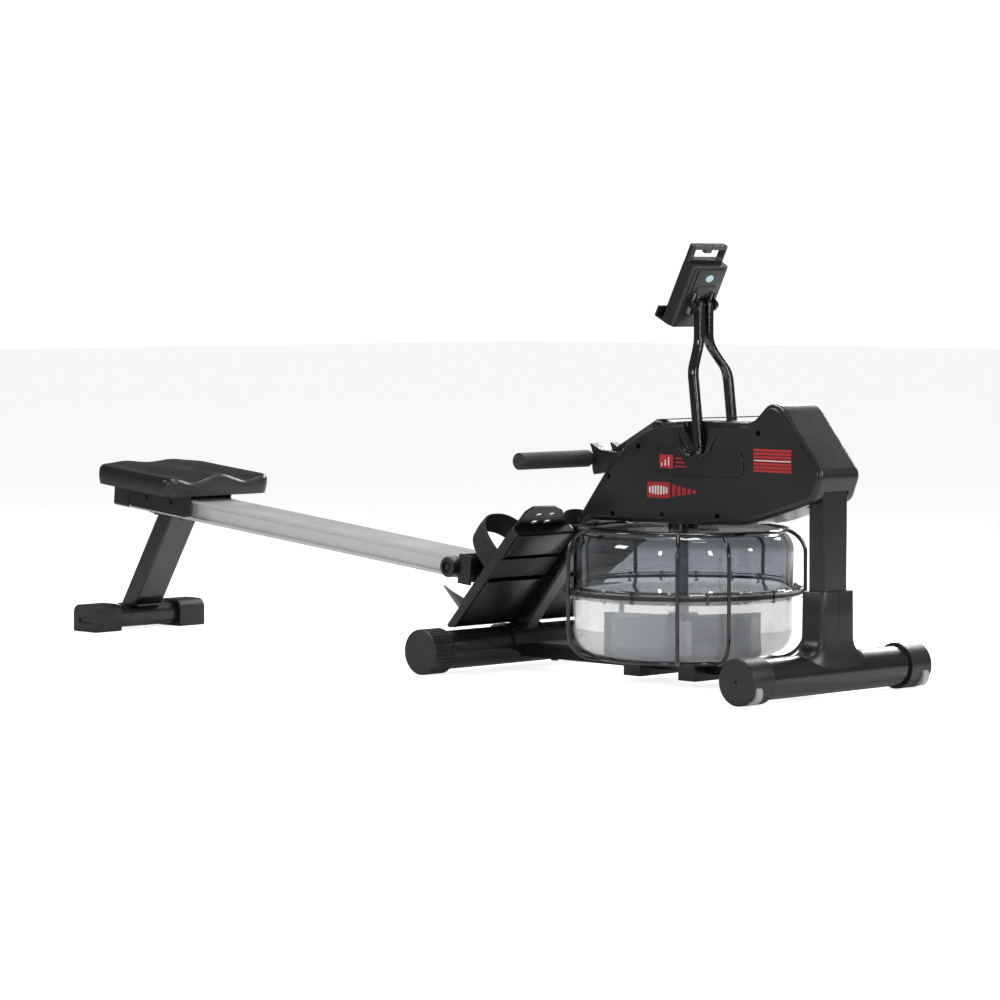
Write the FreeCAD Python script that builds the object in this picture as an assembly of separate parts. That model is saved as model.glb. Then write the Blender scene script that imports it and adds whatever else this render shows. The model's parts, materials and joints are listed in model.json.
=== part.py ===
"""Water rowing machine: one STEP file for each sub-part, in millimetres.

Row frame: +X runs from the rear foot to the water tank, +Y to the rower's left,
+Z up.  The origin is on the floor, under the middle of the whole machine.
"""
import FreeCAD, Part
import math
import os

from FreeCAD import Placement, Rotation, Vector

os.makedirs("parts", exist_ok=True)

# ---------------------------------------------------------------- overall layout
FRONT_X = 1030.0            # axis of the front stabiliser
MID_X = 195.0               # axis of the middle stabiliser
REAR_X = -1033.0            # middle of the rear foot
TANK_X = 656.0              # axis of the tank and its paddle shaft

# ---------------------------------------------------------------- stabilisers
TUBE_R = 39.0               # round stabiliser tube
TUBE_WALL = 2.5
FRONT_HALF = 230.0          # half length of the front tube
FRONT_CAP_R = 45.0
FRONT_CAP_END = 260.0       # the cap's outer face, from the middle plane
MID_HALF = 245.0
MID_CAP_R = 46.0
MID_CAP_END = 281.0
MID_RIBS = 36
WHEEL_R = 22.0
WHEEL_WIDTH = 20.0
WHEEL_Y = 244.0
WHEEL_X = FRONT_X + 23.0
WHEEL_Z = 26.0

# ---------------------------------------------------------------- frame
POST_X = 40.0
POST_Y = 70.0
POST_TOP = 400.0
BOOT_X = 56.0
BOOT_Y = 93.0
BOOT_TOP = 202.0
STRUT_ANGLE = 49.8          # lean of the main strut above the floor
STRUT_DEEP = 40.0
STRUT_WIDE = 36.0
STRUT_LOW = (207.0, 85.0)   # middle of the strut where it meets the saddle
STRUT_TOP = 298.0
BEAM_Z = (24.0, 48.0)       # base beam under the tank
BEAM_HALF = 25.0
CROSS_HALF = 70.0
TOP_BEAM_Z = (362.0, 392.0)
TOP_BEAM_HALF = 20.0
TOP_BEAM_REAR = 485.0
NECK_HALF = 10.0            # half thickness of the plate between strut and top beam

# ---------------------------------------------------------------- rail and seat
RAIL_ANGLE = 5.478          # the rail falls towards the tank
RAIL_REAR = (-1003.0, 279.5)
RAIL_LENGTH = 1090.0
RAIL_HALF = 53.75
RAIL_HEIGHT = 45.0
RAIL_GROOVE = (6.5, 38.5)   # side channel that the rollers run in
RAIL_GROOVE_DEEP = 9.0
ROLLER_R = 15.8
ROLLER_U = (28.0, 195.0)
SEAT_U = (-11.0, 250.0)
SEAT_HALF = 150.0
SEAT_BASE = 58.0            # underside of the pad above the rail's underside
SEAT_SKIRT = 38.0

# ---------------------------------------------------------------- foot boards
BOARD_ANGLE = 47.1
BOARD_LOW = (177.0, 92.0)   # lower end of the face that the feet rest on
BOARD_LENGTH = 284.0
BOARD_THICK = 18.0
BOARD_Y = (22.0, 190.0)
STRAP_U = (160.0, 212.0)
STRAP_HIGH = 108.0

# ---------------------------------------------------------------- tank
FLANGE_R = 233.0
FLANGE_Z = 182.0
FLANGE_THICK = 7.0
TANK_R = 217.0
TANK_WALL = 4.0
TANK_LOW = 57.0
TANK_TOP = 306.0
WATER_LEVEL = 168.0
SEAL_THICK = 3.0
BOLT_CIRCLE = 226.0
FLANGE_BOLTS = 10
FILLER = (TANK_X - 40.0, 110.0)
PADDLE_R = 150.0
PADDLE_Z = (72.0, 140.0)
BLADES = 6
CAGE_R = 241.0
CAGE_WIRE = 4.0
CAGE_FOOT_R = 172.0
CAGE_FOOT_Z = 52.2
CAGE_BEND = 56.0
CAGE_TOP_R = 205.0
CAGE_TOP_Z = 303.0
CAGE_BAR_ANGLES = (-116.0, -50.0, -26.0, 35.0, 90.0, 157.0)

# ---------------------------------------------------------------- housing
HOUSING_HALF = 60.5
HOUSING_WALL = 3.0
HOUSING_ROUND = 12.0
HOUSING_STEPS = ((3.0, 48.5), (6.0, 54.5), (11.0, 57.5))    # inset of the hollow, and how far out it reaches
HOUSING_OUTLINE = (         # (x, z, corner radius) going round from the tail
    (405.0, 300.0, 6.0),
    (576.0, 517.0, 290.0),
    (885.0, 519.0, 45.0),
    (925.0, 556.0, 26.0),
    (957.0, 556.0, 36.0),
    (1064.0, 425.0, 26.0),
    (1043.0, 372.0, 26.0),
    (870.0, 320.0, 300.0),
    (457.0, 314.0, 40.0),
)
SCREW_PLACES = ((508.0, 404.0), (432.0, 322.0), (590.0, 466.0), (905.0, 500.0),
                (520.0, 330.0), (655.0, 334.0), (800.0, 336.0))
POCKET_X = (705.0, 790.0)
POCKET_FLOOR_X = (722.0, 766.0)
POCKET_Z = 455.0
POCKET_DEEP = 18.0

# ---------------------------------------------------------------- strap and pulleys
STRAP_HALF = 12.5
STRAP_THICK = 2.0
STRAP_GAP = 0.3             # between the strap and what it runs on
CLIP = (454.0, 441.0, 0.0)          # strap's end in the handle's clip, as a circle of no radius
GUIDE = (600.0, 505.0, 11.0)        # x, z and radius of the guide roller
PULLEY = (950.0, 499.0, 34.0)       # x, z and radius of the front pulley
DRUM_R = 26.0
DRUM_Z = (402.0, 446.0)
CORD_Y = 26.0               # elastic recoil cord, beside the drum
CORD_Z = 441.0

# ---------------------------------------------------------------- handle
HANDLE = (430.0, 436.0)
HANDLE_HALF = 235.0
BAR_R = 12.5
GRIP_R = 17.0

# ---------------------------------------------------------------- console and its fork
PIVOT = (708.0, 744.0)
FORK_X = 20.0
FORK_Y = 15.0
CONSOLE_LEAN = 27.0         # the screen leans back from upright
CONSOLE_FRONT = (640.0, 716.0)
CONSOLE_TALL = 166.0
CONSOLE_BODY = 132.0
CONSOLE_THICK = 34.0
CONSOLE_HALF = 50.0
BUTTONS = ("reset", "set", "mode")
BUTTON_R = 7.0
BUTTON_PITCH = 26.0

SIDES = (("right", -1), ("left", 1))


# ================================================================ helpers
def box(x0, x1, y0, y1, z0, z1):
    return Part.makeBox(x1 - x0, y1 - y0, z1 - z0, Vector(x0, y0, z0))


def rounded_box(x0, x1, y0, y1, z0, z1, radius, axis):
    """Box whose four edges along the axis (a unit Vector) are rounded."""
    solid = box(x0, x1, y0, y1, z0, z1)
    edges = []
    for edge in solid.Edges:
        direction = edge.tangentAt(edge.FirstParameter)
        if abs(abs(direction.dot(axis)) - 1) < 1e-6:
            edges.append(edge)
    return solid.makeFillet(radius, edges)


AX = Vector(1, 0, 0)
AY = Vector(0, 1, 0)
AZ = Vector(0, 0, 1)


def cylinder_y(x, z, radius, y0, y1):
    return Part.makeCylinder(radius, y1 - y0, Vector(x, y0, z), AY)


def cylinder_z(x, y, radius, z0, z1):
    return Part.makeCylinder(radius, z1 - z0, Vector(x, y, z0), AZ)


def ring_y(x, z, outer, inner, y0, y1):
    return cylinder_y(x, z, outer, y0, y1).cut(cylinder_y(x, z, inner, y0 - 1, y1 + 1))


def ring_z(x, y, outer, inner, z0, z1):
    return cylinder_z(x, y, outer, z0, z1).cut(cylinder_z(x, y, inner, z0 - 1, z1 + 1))


def fuse(shapes):
    whole = shapes[0]
    for shape in shapes[1:]:
        whole = whole.fuse(shape)
    return whole.removeSplitter()


def mirrored(shape):
    return shape.mirror(Vector(0, 0, 0), AY)


def both_sides(shape):
    return Part.makeCompound([shape, mirrored(shape)])


def on_side(shape, sign):
    """The shape as built on the +Y side, or its mirror image."""
    if sign > 0:
        return shape
    return mirrored(shape)


def round_path(corners):
    """Closed wire in the XZ plane; each (x, z, radius) corner becomes a tangent arc."""
    count = len(corners)
    edges = []
    starts = []
    ends = []
    mids = []
    for i in range(count):
        here = Vector(corners[i][0], 0, corners[i][1])
        before = Vector(corners[i - 1][0], 0, corners[i - 1][1])
        after = Vector(corners[(i + 1) % count][0], 0, corners[(i + 1) % count][1])
        inward = (before - here).normalize()
        onward = (after - here).normalize()
        half_angle = inward.getAngle(onward) / 2
        radius = corners[i][2]
        reach = radius / math.tan(half_angle)
        bisector = (inward + onward).normalize()
        starts.append(here + inward * reach)
        ends.append(here + onward * reach)
        mids.append(here + bisector * (radius / math.sin(half_angle) - radius))
    for i in range(count):
        edges.append(Part.Arc(starts[i], mids[i], ends[i]).toShape())
        following = starts[(i + 1) % count]
        if (following - ends[i]).Length > 1e-6:
            edges.append(Part.makeLine(ends[i], following))
    return Part.Wire(edges)


def prism_y(corners, y0, y1):
    """Solid with a round-cornered outline in the XZ plane, from y0 to y1."""
    face = Part.Face(round_path(corners))
    solid = face.extrude(Vector(0, y1 - y0, 0))
    solid.translate(Vector(0, y0, 0))
    return solid


def polygon_y(points, y0, y1):
    """Solid with a plain straight-sided outline in the XZ plane, from y0 to y1."""
    corners = [Vector(x, y0, z) for x, z in points]
    face = Part.Face(Part.makePolygon(corners + [corners[0]]))
    return face.extrude(Vector(0, y1 - y0, 0))


def bolt(x, y, z, axis, head_r, head_h, shank_r, shank):
    """Bolt whose head stands out along the axis from the point and whose shank goes in."""
    head = Part.makeCylinder(head_r, head_h, Vector(x, y, z), axis)
    socket = Part.makeCylinder(head_r * 0.5, head_h * 0.6, Vector(x, y, z) + axis * (head_h * 0.4), axis)
    body = Part.makeCylinder(shank_r, shank, Vector(x, y, z), axis * -1)
    return head.cut(socket).fuse(body)


def local_place(origin, angle):
    """Placement of a part built along +X onto a line that rises by the angle."""
    return Placement(Vector(origin[0], 0, origin[1]), Rotation(AY, -angle))


RAIL_PLACE = local_place(RAIL_REAR, -RAIL_ANGLE)
STRUT_PLACE = local_place(STRUT_LOW, STRUT_ANGLE)
BOARD_PLACE = local_place(BOARD_LOW, BOARD_ANGLE)
CONSOLE_PLACE = local_place(CONSOLE_FRONT, 90 - CONSOLE_LEAN)


def placed(shape, placement):
    moved = shape.copy()
    moved.Placement = placement.multiply(moved.Placement)
    return moved


PARTS = {}


def keep(name, shape):
    PARTS[name] = shape


# ================================================================ stabilisers and feet
def front_stabiliser():
    tube = ring_y(FRONT_X, FRONT_CAP_R, TUBE_R, TUBE_R - TUBE_WALL, -FRONT_HALF, FRONT_HALF)
    keep("front_stabiliser", tube)
    cap = cylinder_y(FRONT_X, FRONT_CAP_R, FRONT_CAP_R, FRONT_HALF - 2, FRONT_CAP_END)
    cap = cap.makeFillet(4, [e for e in cap.Edges if e.Length > 200 and e.BoundBox.YMin > FRONT_CAP_END - 1])
    sleeve = ring_y(FRONT_X, FRONT_CAP_R, FRONT_CAP_R, TUBE_R, FRONT_HALF - 30, FRONT_HALF)
    cap = cap.cut(cylinder_y(FRONT_X, FRONT_CAP_R, TUBE_R, FRONT_HALF - 3, FRONT_HALF)).fuse(sleeve)
    pocket = cylinder_y(WHEEL_X, WHEEL_Z, WHEEL_R + 2, WHEEL_Y - WHEEL_WIDTH / 2 - 1.5,
                        WHEEL_Y + WHEEL_WIDTH / 2 - 3)
    pocket = pocket.fuse(cylinder_y(WHEEL_X, WHEEL_Z, WHEEL_R + 2, WHEEL_Y, WHEEL_Y + 9))
    cap = cap.cut(pocket)
    axle = cylinder_y(WHEEL_X, WHEEL_Z, 4, WHEEL_Y - WHEEL_WIDTH / 2 - 4, WHEEL_Y + 11)
    dimple = cylinder_y(FRONT_X, FRONT_CAP_R, 3, FRONT_CAP_END - 3, FRONT_CAP_END + 1)
    keep("front_caps", both_sides(fuse([cap, axle]).cut(dimple)))


def transport_wheels():
    for side, sign in SIDES:
        wheel = ring_y(WHEEL_X, WHEEL_Z, WHEEL_R, 4.05, WHEEL_Y - WHEEL_WIDTH / 2, WHEEL_Y + 7)
        groove = ring_y(WHEEL_X, WHEEL_Z, WHEEL_R - 6, 8, WHEEL_Y + 4, WHEEL_Y + 8)
        keep("wheel_" + side, on_side(wheel.cut(groove), sign))


def middle_stabiliser():
    tube = ring_y(MID_X, MID_CAP_R, TUBE_R, TUBE_R - TUBE_WALL, -MID_HALF, MID_HALF)
    keep("mid_stabiliser", tube)
    cap = cylinder_y(MID_X, MID_CAP_R, MID_CAP_R, MID_HALF - 20, MID_CAP_END)
    cap = cap.makeFillet(5, [e for e in cap.Edges if e.Length > 200 and e.BoundBox.YMin > MID_CAP_END - 1])
    cap = cap.cut(cylinder_y(MID_X, MID_CAP_R, TUBE_R, MID_HALF - 21, MID_HALF))
    grooves = []
    for i in range(MID_RIBS):
        angle = 2 * math.pi * (i + 0.5) / MID_RIBS
        x = MID_X + MID_CAP_R * math.cos(angle)
        z = MID_CAP_R + MID_CAP_R * math.sin(angle)
        grooves.append(cylinder_y(x, z, 1.2, MID_HALF - 21, MID_CAP_END - 6))
    cap = cap.cut(Part.makeCompound(grooves))
    keep("mid_caps", both_sides(cap))


def rear_foot():
    bar = rounded_box(REAR_X - 30, REAR_X + 30, -150, 150, 6, 54, 18, AY)
    bore = rounded_box(REAR_X - 27, REAR_X + 27, -151, 151, 9, 51, 15, AY)
    keep("rear_foot_bar", bar.cut(bore))
    half = 42.0
    outline = ((REAR_X - half, 0.0, 5.0), (REAR_X - half, 61.0, 20.0),
               (REAR_X + half, 61.0, 20.0), (REAR_X + half, 0.0, 5.0))
    cap = prism_y(outline, 86, 158)
    cap = cap.cut(rounded_box(REAR_X - 30, REAR_X + 30, 80, 150, 6, 54, 18, AY))
    slot = rounded_box(REAR_X - 24, REAR_X + 24, 154, 160, 20, 32, 5, AY)
    keep("rear_foot_caps", both_sides(cap.cut(slot)))


# ================================================================ frame
def front_post():
    low = FRONT_CAP_R
    half_x = POST_X / 2
    half_y = POST_Y / 2
    post = rounded_box(FRONT_X - half_x, FRONT_X + half_x, -half_y, half_y, low, POST_TOP, 6, AZ)
    bore = box(FRONT_X - POST_X / 2 + 2.5, FRONT_X + POST_X / 2 - 2.5, -POST_Y / 2 + 2.5, POST_Y / 2 - 2.5,
               low - 1, POST_TOP + 1)
    tube = cylinder_y(FRONT_X, FRONT_CAP_R, TUBE_R, -100, 100)
    keep("front_post", post.cut(bore).cut(tube))


def boot_half(sign):
    """Half of the moulded cover at the foot of the post; it flares onto the stabiliser."""
    half_x = BOOT_X / 2
    half_y = BOOT_Y / 2
    outer = rounded_box(FRONT_X - half_x, FRONT_X + half_x, -half_y, half_y, 60, BOOT_TOP, 7, AZ)
    skirt = Part.makeLoft([boot_section(0, 0, 118), boot_section(6, 7, 104), boot_section(16, 34, 84)], True)
    whole = outer.fuse(skirt)
    whole = whole.cut(cylinder_y(FRONT_X, FRONT_CAP_R, TUBE_R, -150, 150))
    hole_x = POST_X / 2
    hole_y = POST_Y / 2
    bore = rounded_box(FRONT_X - hole_x, FRONT_X + hole_x, -hole_y, hole_y, 40, BOOT_TOP + 1, 6, AZ)
    whole = whole.cut(bore)
    if sign > 0:
        return whole.common(box(FRONT_X - 100, FRONT_X + 100, 0.25, 200, 0, 300))
    return whole.common(box(FRONT_X - 100, FRONT_X + 100, -200, -0.25, 0, 300))


def boot_section(grow_x, grow_y, z):
    """Rectangle around the boot, grown on each side, at height z."""
    x = BOOT_X / 2 + grow_x
    y = BOOT_Y / 2 + grow_y
    corners = [Vector(FRONT_X - x, -y, z), Vector(FRONT_X + x, -y, z),
               Vector(FRONT_X + x, y, z), Vector(FRONT_X - x, y, z)]
    return Part.makePolygon(corners + [corners[0]])


def post_boots():
    for side, sign in SIDES:
        keep("post_boot_" + side, boot_half(sign))


def strut_hull(grow):
    """Solid block in the strut's place, larger by the given amount on its four sides."""
    half_wide = STRUT_WIDE / 2 + grow
    half_deep = STRUT_DEEP / 2 + grow
    return placed(box(-60, 420, -half_wide, half_wide, -half_deep, half_deep), STRUT_PLACE)


def neck(grow):
    """Plate that carries the strut's load into the housing, up to the top beam."""
    low, high = TOP_BEAM_Z
    foot = STRUT_TOP - 2
    lid = STRUT_TOP + 2
    rear = ((398 - grow, foot), (402 - grow, lid), (440 - grow, 334), (486 - grow, high), (530, high))
    front = ((530, low), (480 + grow, low), (428 + grow, lid), (412 + grow, foot))
    outline = rear + front
    return polygon_y(outline, -NECK_HALF - grow, NECK_HALF + grow)


def main_strut():
    half_wide = STRUT_WIDE / 2
    half_deep = STRUT_DEEP / 2
    outer = placed(rounded_box(-60, 420, -half_wide, half_wide, -half_deep, half_deep, 5, AX),
                   STRUT_PLACE)
    strut = outer.cut(strut_hull(-2.5)).common(box(0, 600, -60, 60, 60, STRUT_TOP - 3))
    lid = outer.common(box(0, 600, -60, 60, STRUT_TOP - 3, STRUT_TOP))
    strut = strut.cut(cylinder_y(MID_X, MID_CAP_R, TUBE_R + 5, -60, 60))
    saddle = ring_y(MID_X, MID_CAP_R, TUBE_R + 5, TUBE_R, -52, 52)
    wedge = polygon_y(((MID_X, MID_CAP_R), (MID_X - 90, 62.0), (MID_X - 90, 140.0), (MID_X + 90, 140.0),
                       (MID_X + 90, 55.0)), -53, 53)
    plate = neck(0).cut(box(TOP_BEAM_REAR, 600, -60, 60, 300, 500))
    keep("main_strut", fuse([strut, lid, saddle.common(wedge), plate]))


def base_beam():
    beam = box(MID_X, FRONT_X, -BEAM_HALF, BEAM_HALF, BEAM_Z[0], BEAM_Z[1])
    bore = box(MID_X - 1, FRONT_X + 1, -BEAM_HALF + 2.5, BEAM_HALF - 2.5, BEAM_Z[0] + 2.5, BEAM_Z[1] - 2.5)
    cross = box(560, 605, -CROSS_HALF, CROSS_HALF, 12, BEAM_Z[1])
    front_cross = box(707, 752, -CROSS_HALF, CROSS_HALF, 12, BEAM_Z[1])
    whole = fuse([beam, cross, front_cross]).cut(bore)
    whole = whole.cut(cylinder_y(MID_X, MID_CAP_R, TUBE_R, -100, 100))
    whole = whole.cut(cylinder_y(FRONT_X, FRONT_CAP_R, TUBE_R, -100, 100))
    keep("base_beam", whole)


def top_beam():
    x0 = TOP_BEAM_REAR
    x1 = FRONT_X - POST_X / 2
    beam = box(x0, x1, -TOP_BEAM_HALF, TOP_BEAM_HALF, TOP_BEAM_Z[0], TOP_BEAM_Z[1])
    bore = box(x0 - 1, x1 + 1, -TOP_BEAM_HALF + 2.5, TOP_BEAM_HALF - 2.5, TOP_BEAM_Z[0] + 2.5,
               TOP_BEAM_Z[1] - 2.5)
    beam = beam.cut(bore).cut(cylinder_z(TANK_X, 0, 17, 300, 500))
    deck = TOP_BEAM_Z[1]
    ears = []
    for sign in (-1, 1):
        # ears that carry the guide roller and the front pulley
        guide_ear = polygon_y(((584.0, deck), (614.0, deck), (609.0, 512.0), (591.0, 512.0)), 17.0, 20.0)
        pulley_ear = polygon_y(((925.0, deck), (990.0, deck), (962.0, 508.0), (938.0, 508.0)), 17.0, 20.0)
        ears.append(on_side(guide_ear, sign))
        ears.append(on_side(pulley_ear, sign))
    axles = [cylinder_y(GUIDE[0], GUIDE[1], 4, -20, 20), cylinder_y(PULLEY[0], PULLEY[1], 6, -20, 20)]
    anchor = [box(530, 552, 0, CORD_Y + 6, TOP_BEAM_Z[1], TOP_BEAM_Z[1] + 4),
              cylinder_z(540, CORD_Y, 5, TOP_BEAM_Z[1], CORD_Z + 6)]
    keep("top_beam", fuse([beam] + ears + axles + anchor))


# ================================================================ rail
def rail():
    outer = box(0, RAIL_LENGTH, -RAIL_HALF, RAIL_HALF, 0, RAIL_HEIGHT)
    core = box(-1, RAIL_LENGTH + 1, -38, 38, 4, RAIL_HEIGHT - 4)
    solid = outer.cut(core)
    for sign in (-1, 1):
        groove = box(-1, RAIL_LENGTH + 1, RAIL_HALF - RAIL_GROOVE_DEEP, RAIL_HALF + 1, RAIL_GROOVE[0],
                     RAIL_GROOVE[1])
        solid = solid.cut(on_side(groove, sign))
        line = box(-1, RAIL_LENGTH + 1, 20, 22, RAIL_HEIGHT - 0.8, RAIL_HEIGHT + 1)
        solid = solid.cut(on_side(line, sign))
    keep("rail", placed(solid, RAIL_PLACE))


def rail_rear_cap():
    cap = rounded_box(-50, 0, -58, 58, -1, RAIL_HEIGHT + 1, 6, AX)
    plug = box(-1, 26, -37.8, 37.8, 4.2, RAIL_HEIGHT - 4.2)
    keep("rail_rear_cap", placed(cap.fuse(plug), RAIL_PLACE))


def rail_bracket():
    """Steel socket that clamps the rail's lower end and is welded to the strut."""
    u0 = RAIL_LENGTH
    plate = box(u0, u0 + 6, -66, 66, -8, RAIL_HEIGHT + 8)
    cheek = box(u0, u0 + 36, 60, 66, -8, RAIL_HEIGHT + 8)
    tongue = box(u0, u0 + 130, -16, 16, 6, 40)
    whole = placed(fuse([plate, cheek, mirrored(cheek), tongue]), RAIL_PLACE)
    strut_room = strut_hull(0)
    beyond = placed(box(-60, 400, -100, 100, -400, -STRUT_DEEP / 2), STRUT_PLACE)
    keep("rail_bracket", whole.cut(strut_room).cut(beyond))


def rail_bumpers():
    """Rubber stops on both sides of the rail, each held by a bolt through its middle."""
    u = RAIL_LENGTH - 22
    w = RAIL_HEIGHT / 2
    rubber = cylinder_y(u, w, 21.5, RAIL_HALF, RAIL_HALF + 25)
    outer_edges = [e for e in rubber.Edges if e.Length > 100 and e.BoundBox.YMin > RAIL_HALF + 20]
    rubber = rubber.makeFillet(5, outer_edges)
    rubber = rubber.cut(cylinder_y(u, w, 12, RAIL_HALF + 19, RAIL_HALF + 26))
    neck = cylinder_y(u, w, 13, RAIL_HALF - RAIL_GROOVE_DEEP, RAIL_HALF)
    head = cylinder_y(u, w, 6.5, RAIL_HALF + 19, RAIL_HALF + 23)
    keep("rail_bumpers", placed(both_sides(fuse([rubber, neck, head])), RAIL_PLACE))


def rear_leg():
    foot = Vector(REAR_X + 8, 0, 58)
    top = Vector(-893, 0, 266)
    run = top - foot
    angle = math.degrees(math.atan2(run.z, run.x))
    outer = rounded_box(-30, run.Length + 30, -39, 39, -22, 22, 4, AX)
    bore = box(-31, run.Length + 31, -36.5, 36.5, -19.5, 19.5)
    place = local_place((foot.x, foot.z), angle)
    leg = placed(outer.cut(bore), place)
    under_rail = placed(box(-200, 400, -80, 80, -5, 200), RAIL_PLACE)
    leg = leg.cut(under_rail)
    leg = leg.cut(box(REAR_X - 200, REAR_X + 200, -60, 60, 0, 58))
    top_plate = placed(box(56, 172, -39, 39, -5, 0), RAIL_PLACE)
    foot_plate = box(REAR_X - 24, REAR_X + 50, -44, 44, 54, 58)
    foot_plate = foot_plate.cut(box(REAR_X + 12, REAR_X + 60, -50, 50, 50, 54))
    bar = rounded_box(REAR_X - 30, REAR_X + 30, -150, 150, 6, 54, 18, AY)
    keep("rear_leg", fuse([leg, top_plate, foot_plate]).cut(bar))


# ================================================================ seat
def seat():
    u0, u1 = SEAT_U
    pad = rounded_box(u0, u1, -SEAT_HALF, SEAT_HALF, SEAT_BASE, SEAT_BASE + SEAT_SKIRT, 34, AZ)
    skirt_top = SEAT_BASE + SEAT_SKIRT
    crown = rounded_box(u0 + 6, u1 - 6, -SEAT_HALF + 6, SEAT_HALF - 6, skirt_top, SEAT_BASE + 50, 32, AZ)
    hollow = cylinder_y(105, SEAT_BASE + 50 + 300, 309, -SEAT_HALF, SEAT_HALF)
    whole = pad.fuse(crown).cut(hollow)
    keep("seat_pad", placed(whole, RAIL_PLACE))


def carriage():
    deck = box(5, 218, -61, 61, 53, SEAT_BASE)
    cheek = prism_y(((5.0, 56.0, 4.0), (218.0, 56.0, 4.0), (218.0, 5.0, 16.0), (5.0, 5.0, 16.0)), 56.5, 61)
    parts = [deck, cheek, mirrored(cheek)]
    for u in ROLLER_U:
        axle = cylinder_y(u, RAIL_GROOVE[0] + 16, 5, RAIL_HALF - RAIL_GROOVE_DEEP + 0.6, 57)
        parts.append(axle)
        parts.append(mirrored(axle))
    for u in (64.0, 150.0):
        head = cylinder_y(u, 30, 5.5, 61, 64)
        parts.append(head)
        parts.append(mirrored(head))
    keep("seat_carriage", placed(fuse(parts), RAIL_PLACE))


def rollers():
    names = ("seat_rollers_rear", "seat_rollers_front")
    for name, u in zip(names, ROLLER_U):
        inner = RAIL_HALF - RAIL_GROOVE_DEEP + 0.6
        wheel = ring_y(u, RAIL_GROOVE[0] + 16, ROLLER_R, 5.05, inner, RAIL_HALF - 0.4)
        keep(name, placed(both_sides(wheel), RAIL_PLACE))


# ================================================================ foot boards
def footboards():
    y0, y1 = BOARD_Y
    board = rounded_box(0, BOARD_LENGTH, y0, y1, -BOARD_THICK, 0, 8, AZ)
    hollow = rounded_box(7, BOARD_LENGTH - 7, y0 + 7, y1 - 7, -BOARD_THICK - 1, -7, 5, AZ)
    board = board.cut(hollow)
    slot = rounded_box(STRAP_U[0] - 1, STRAP_U[1] + 1, y1 - 12, y1 - 8, -BOARD_THICK - 2, 2, 1.5, AZ)
    inner_slot = rounded_box(STRAP_U[0] - 1, STRAP_U[1] + 1, y0 + 8, y0 + 12, -BOARD_THICK - 2, 2, 1.5, AZ)
    board = board.cut(slot).cut(inner_slot)
    boards = placed(both_sides(board), BOARD_PLACE)
    keep("footboards", boards.cut(cylinder_y(MID_X, MID_CAP_R, TUBE_R + 6, -300, 300)))


def pedal(sign):
    """Foot bed with a heel-to-toe plate, and a toe piece with four slots past the board's end."""
    y0 = 40.0
    y1 = BOARD_Y[1] - 4
    bed = rounded_box(70, BOARD_LENGTH, y0, y1, 0, 6, 6, AZ)
    toe_low = BOARD_LENGTH - 1
    toe_mid = BOARD_LENGTH + 44
    toe_top = BOARD_LENGTH + 57
    toe_points = [Vector(toe_low, y0, 0), Vector(toe_low, y1, 0), Vector(toe_mid, y1 - 2, 0),
                  Vector(toe_top, y1 - 16, 0), Vector(toe_top, y1 - 78, 0), Vector(toe_mid, y0 + 40, 0)]
    toe = Part.Face(Part.makePolygon(toe_points + [toe_points[0]])).extrude(Vector(0, 0, 3.5))
    whole = fuse([bed, toe])
    for u in (BOARD_LENGTH + 14, BOARD_LENGTH + 34):
        for y in (y1 - 48, y1 - 84):
            whole = whole.cut(rounded_box(u - 3.5, u + 3.5, y - 9, y + 9, -1, 7, 3.4, AZ))
    for y in (y0 + 8, y1 - 12):
        whole = whole.cut(box(STRAP_U[0] - 1, STRAP_U[1] + 1, y - 3, y + 5, -1, 7))
    guide = box(20, 72, (y0 + y1) / 2 - 16, (y0 + y1) / 2 + 16, 0, 4)
    return placed(on_side(fuse([whole, guide]), sign), BOARD_PLACE)


def pedals():
    for side, sign in SIDES:
        keep("pedal_" + side, pedal(sign))


def foot_strap():
    """Webbing arch over the foot: an even strip that stands on the foot bed's two sides."""
    y0 = 49.0
    y1 = BOARD_Y[1] - 14
    middle = (y0 + y1) / 2
    thick = 3.0
    arch = []
    for grow in (0.0, thick):
        left = Vector(0, y0 - grow, 6.2)
        right = Vector(0, y1 + grow, 6.2)
        left_up = Vector(0, y0 - grow, 58)
        right_up = Vector(0, y1 + grow, 58)
        top = Vector(0, middle, STRAP_HIGH - thick + grow)
        crest = Part.Arc(left_up, top, right_up).toShape()
        lines = [Part.makeLine(left, left_up), crest, Part.makeLine(right_up, right)]
        arch.append(Part.Face(Part.Wire(lines + [Part.makeLine(right, left)])))
    band = arch[1].cut(arch[0]).extrude(Vector(STRAP_U[1] - STRAP_U[0], 0, 0))
    band.translate(Vector(STRAP_U[0], 0, 0))
    return band


def foot_straps():
    keep("foot_straps", placed(both_sides(foot_strap()), BOARD_PLACE))


def heel_cup():
    """Curved wall that holds the heel, on a plate that slides along the foot bed's tongue."""
    y0 = 56.0
    y1 = BOARD_Y[1] - 20
    middle = (y0 + y1) / 2
    half = (y1 - y0) / 2
    plate = box(8, 66, y0, y1, 6.4, 10)
    wall = ring_z(8 + half, middle, half, half - 4, 6.4, 84).common(box(4, 66, y0 - 1, y1 + 1, 6, 90))
    slope = polygon_y(((30.0, 84.5), (67.0, 84.5), (67.0, 10.0), (66.0, 10.0)), y0 - 2, y1 + 2)
    back = polygon_y(((7.0, 46.0), (30.0, 84.5), (7.0, 84.5)), y0 + 16, y1 - 16)
    cup = fuse([plate, wall.cut(slope).cut(back)])
    tongue = box(10, 66, middle - 16.3, middle + 16.3, 6, 6.3)
    return cup.cut(tongue)


def heel_cups():
    for side, sign in SIDES:
        keep("heel_cup_" + side, placed(on_side(heel_cup(), sign), BOARD_PLACE))


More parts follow.
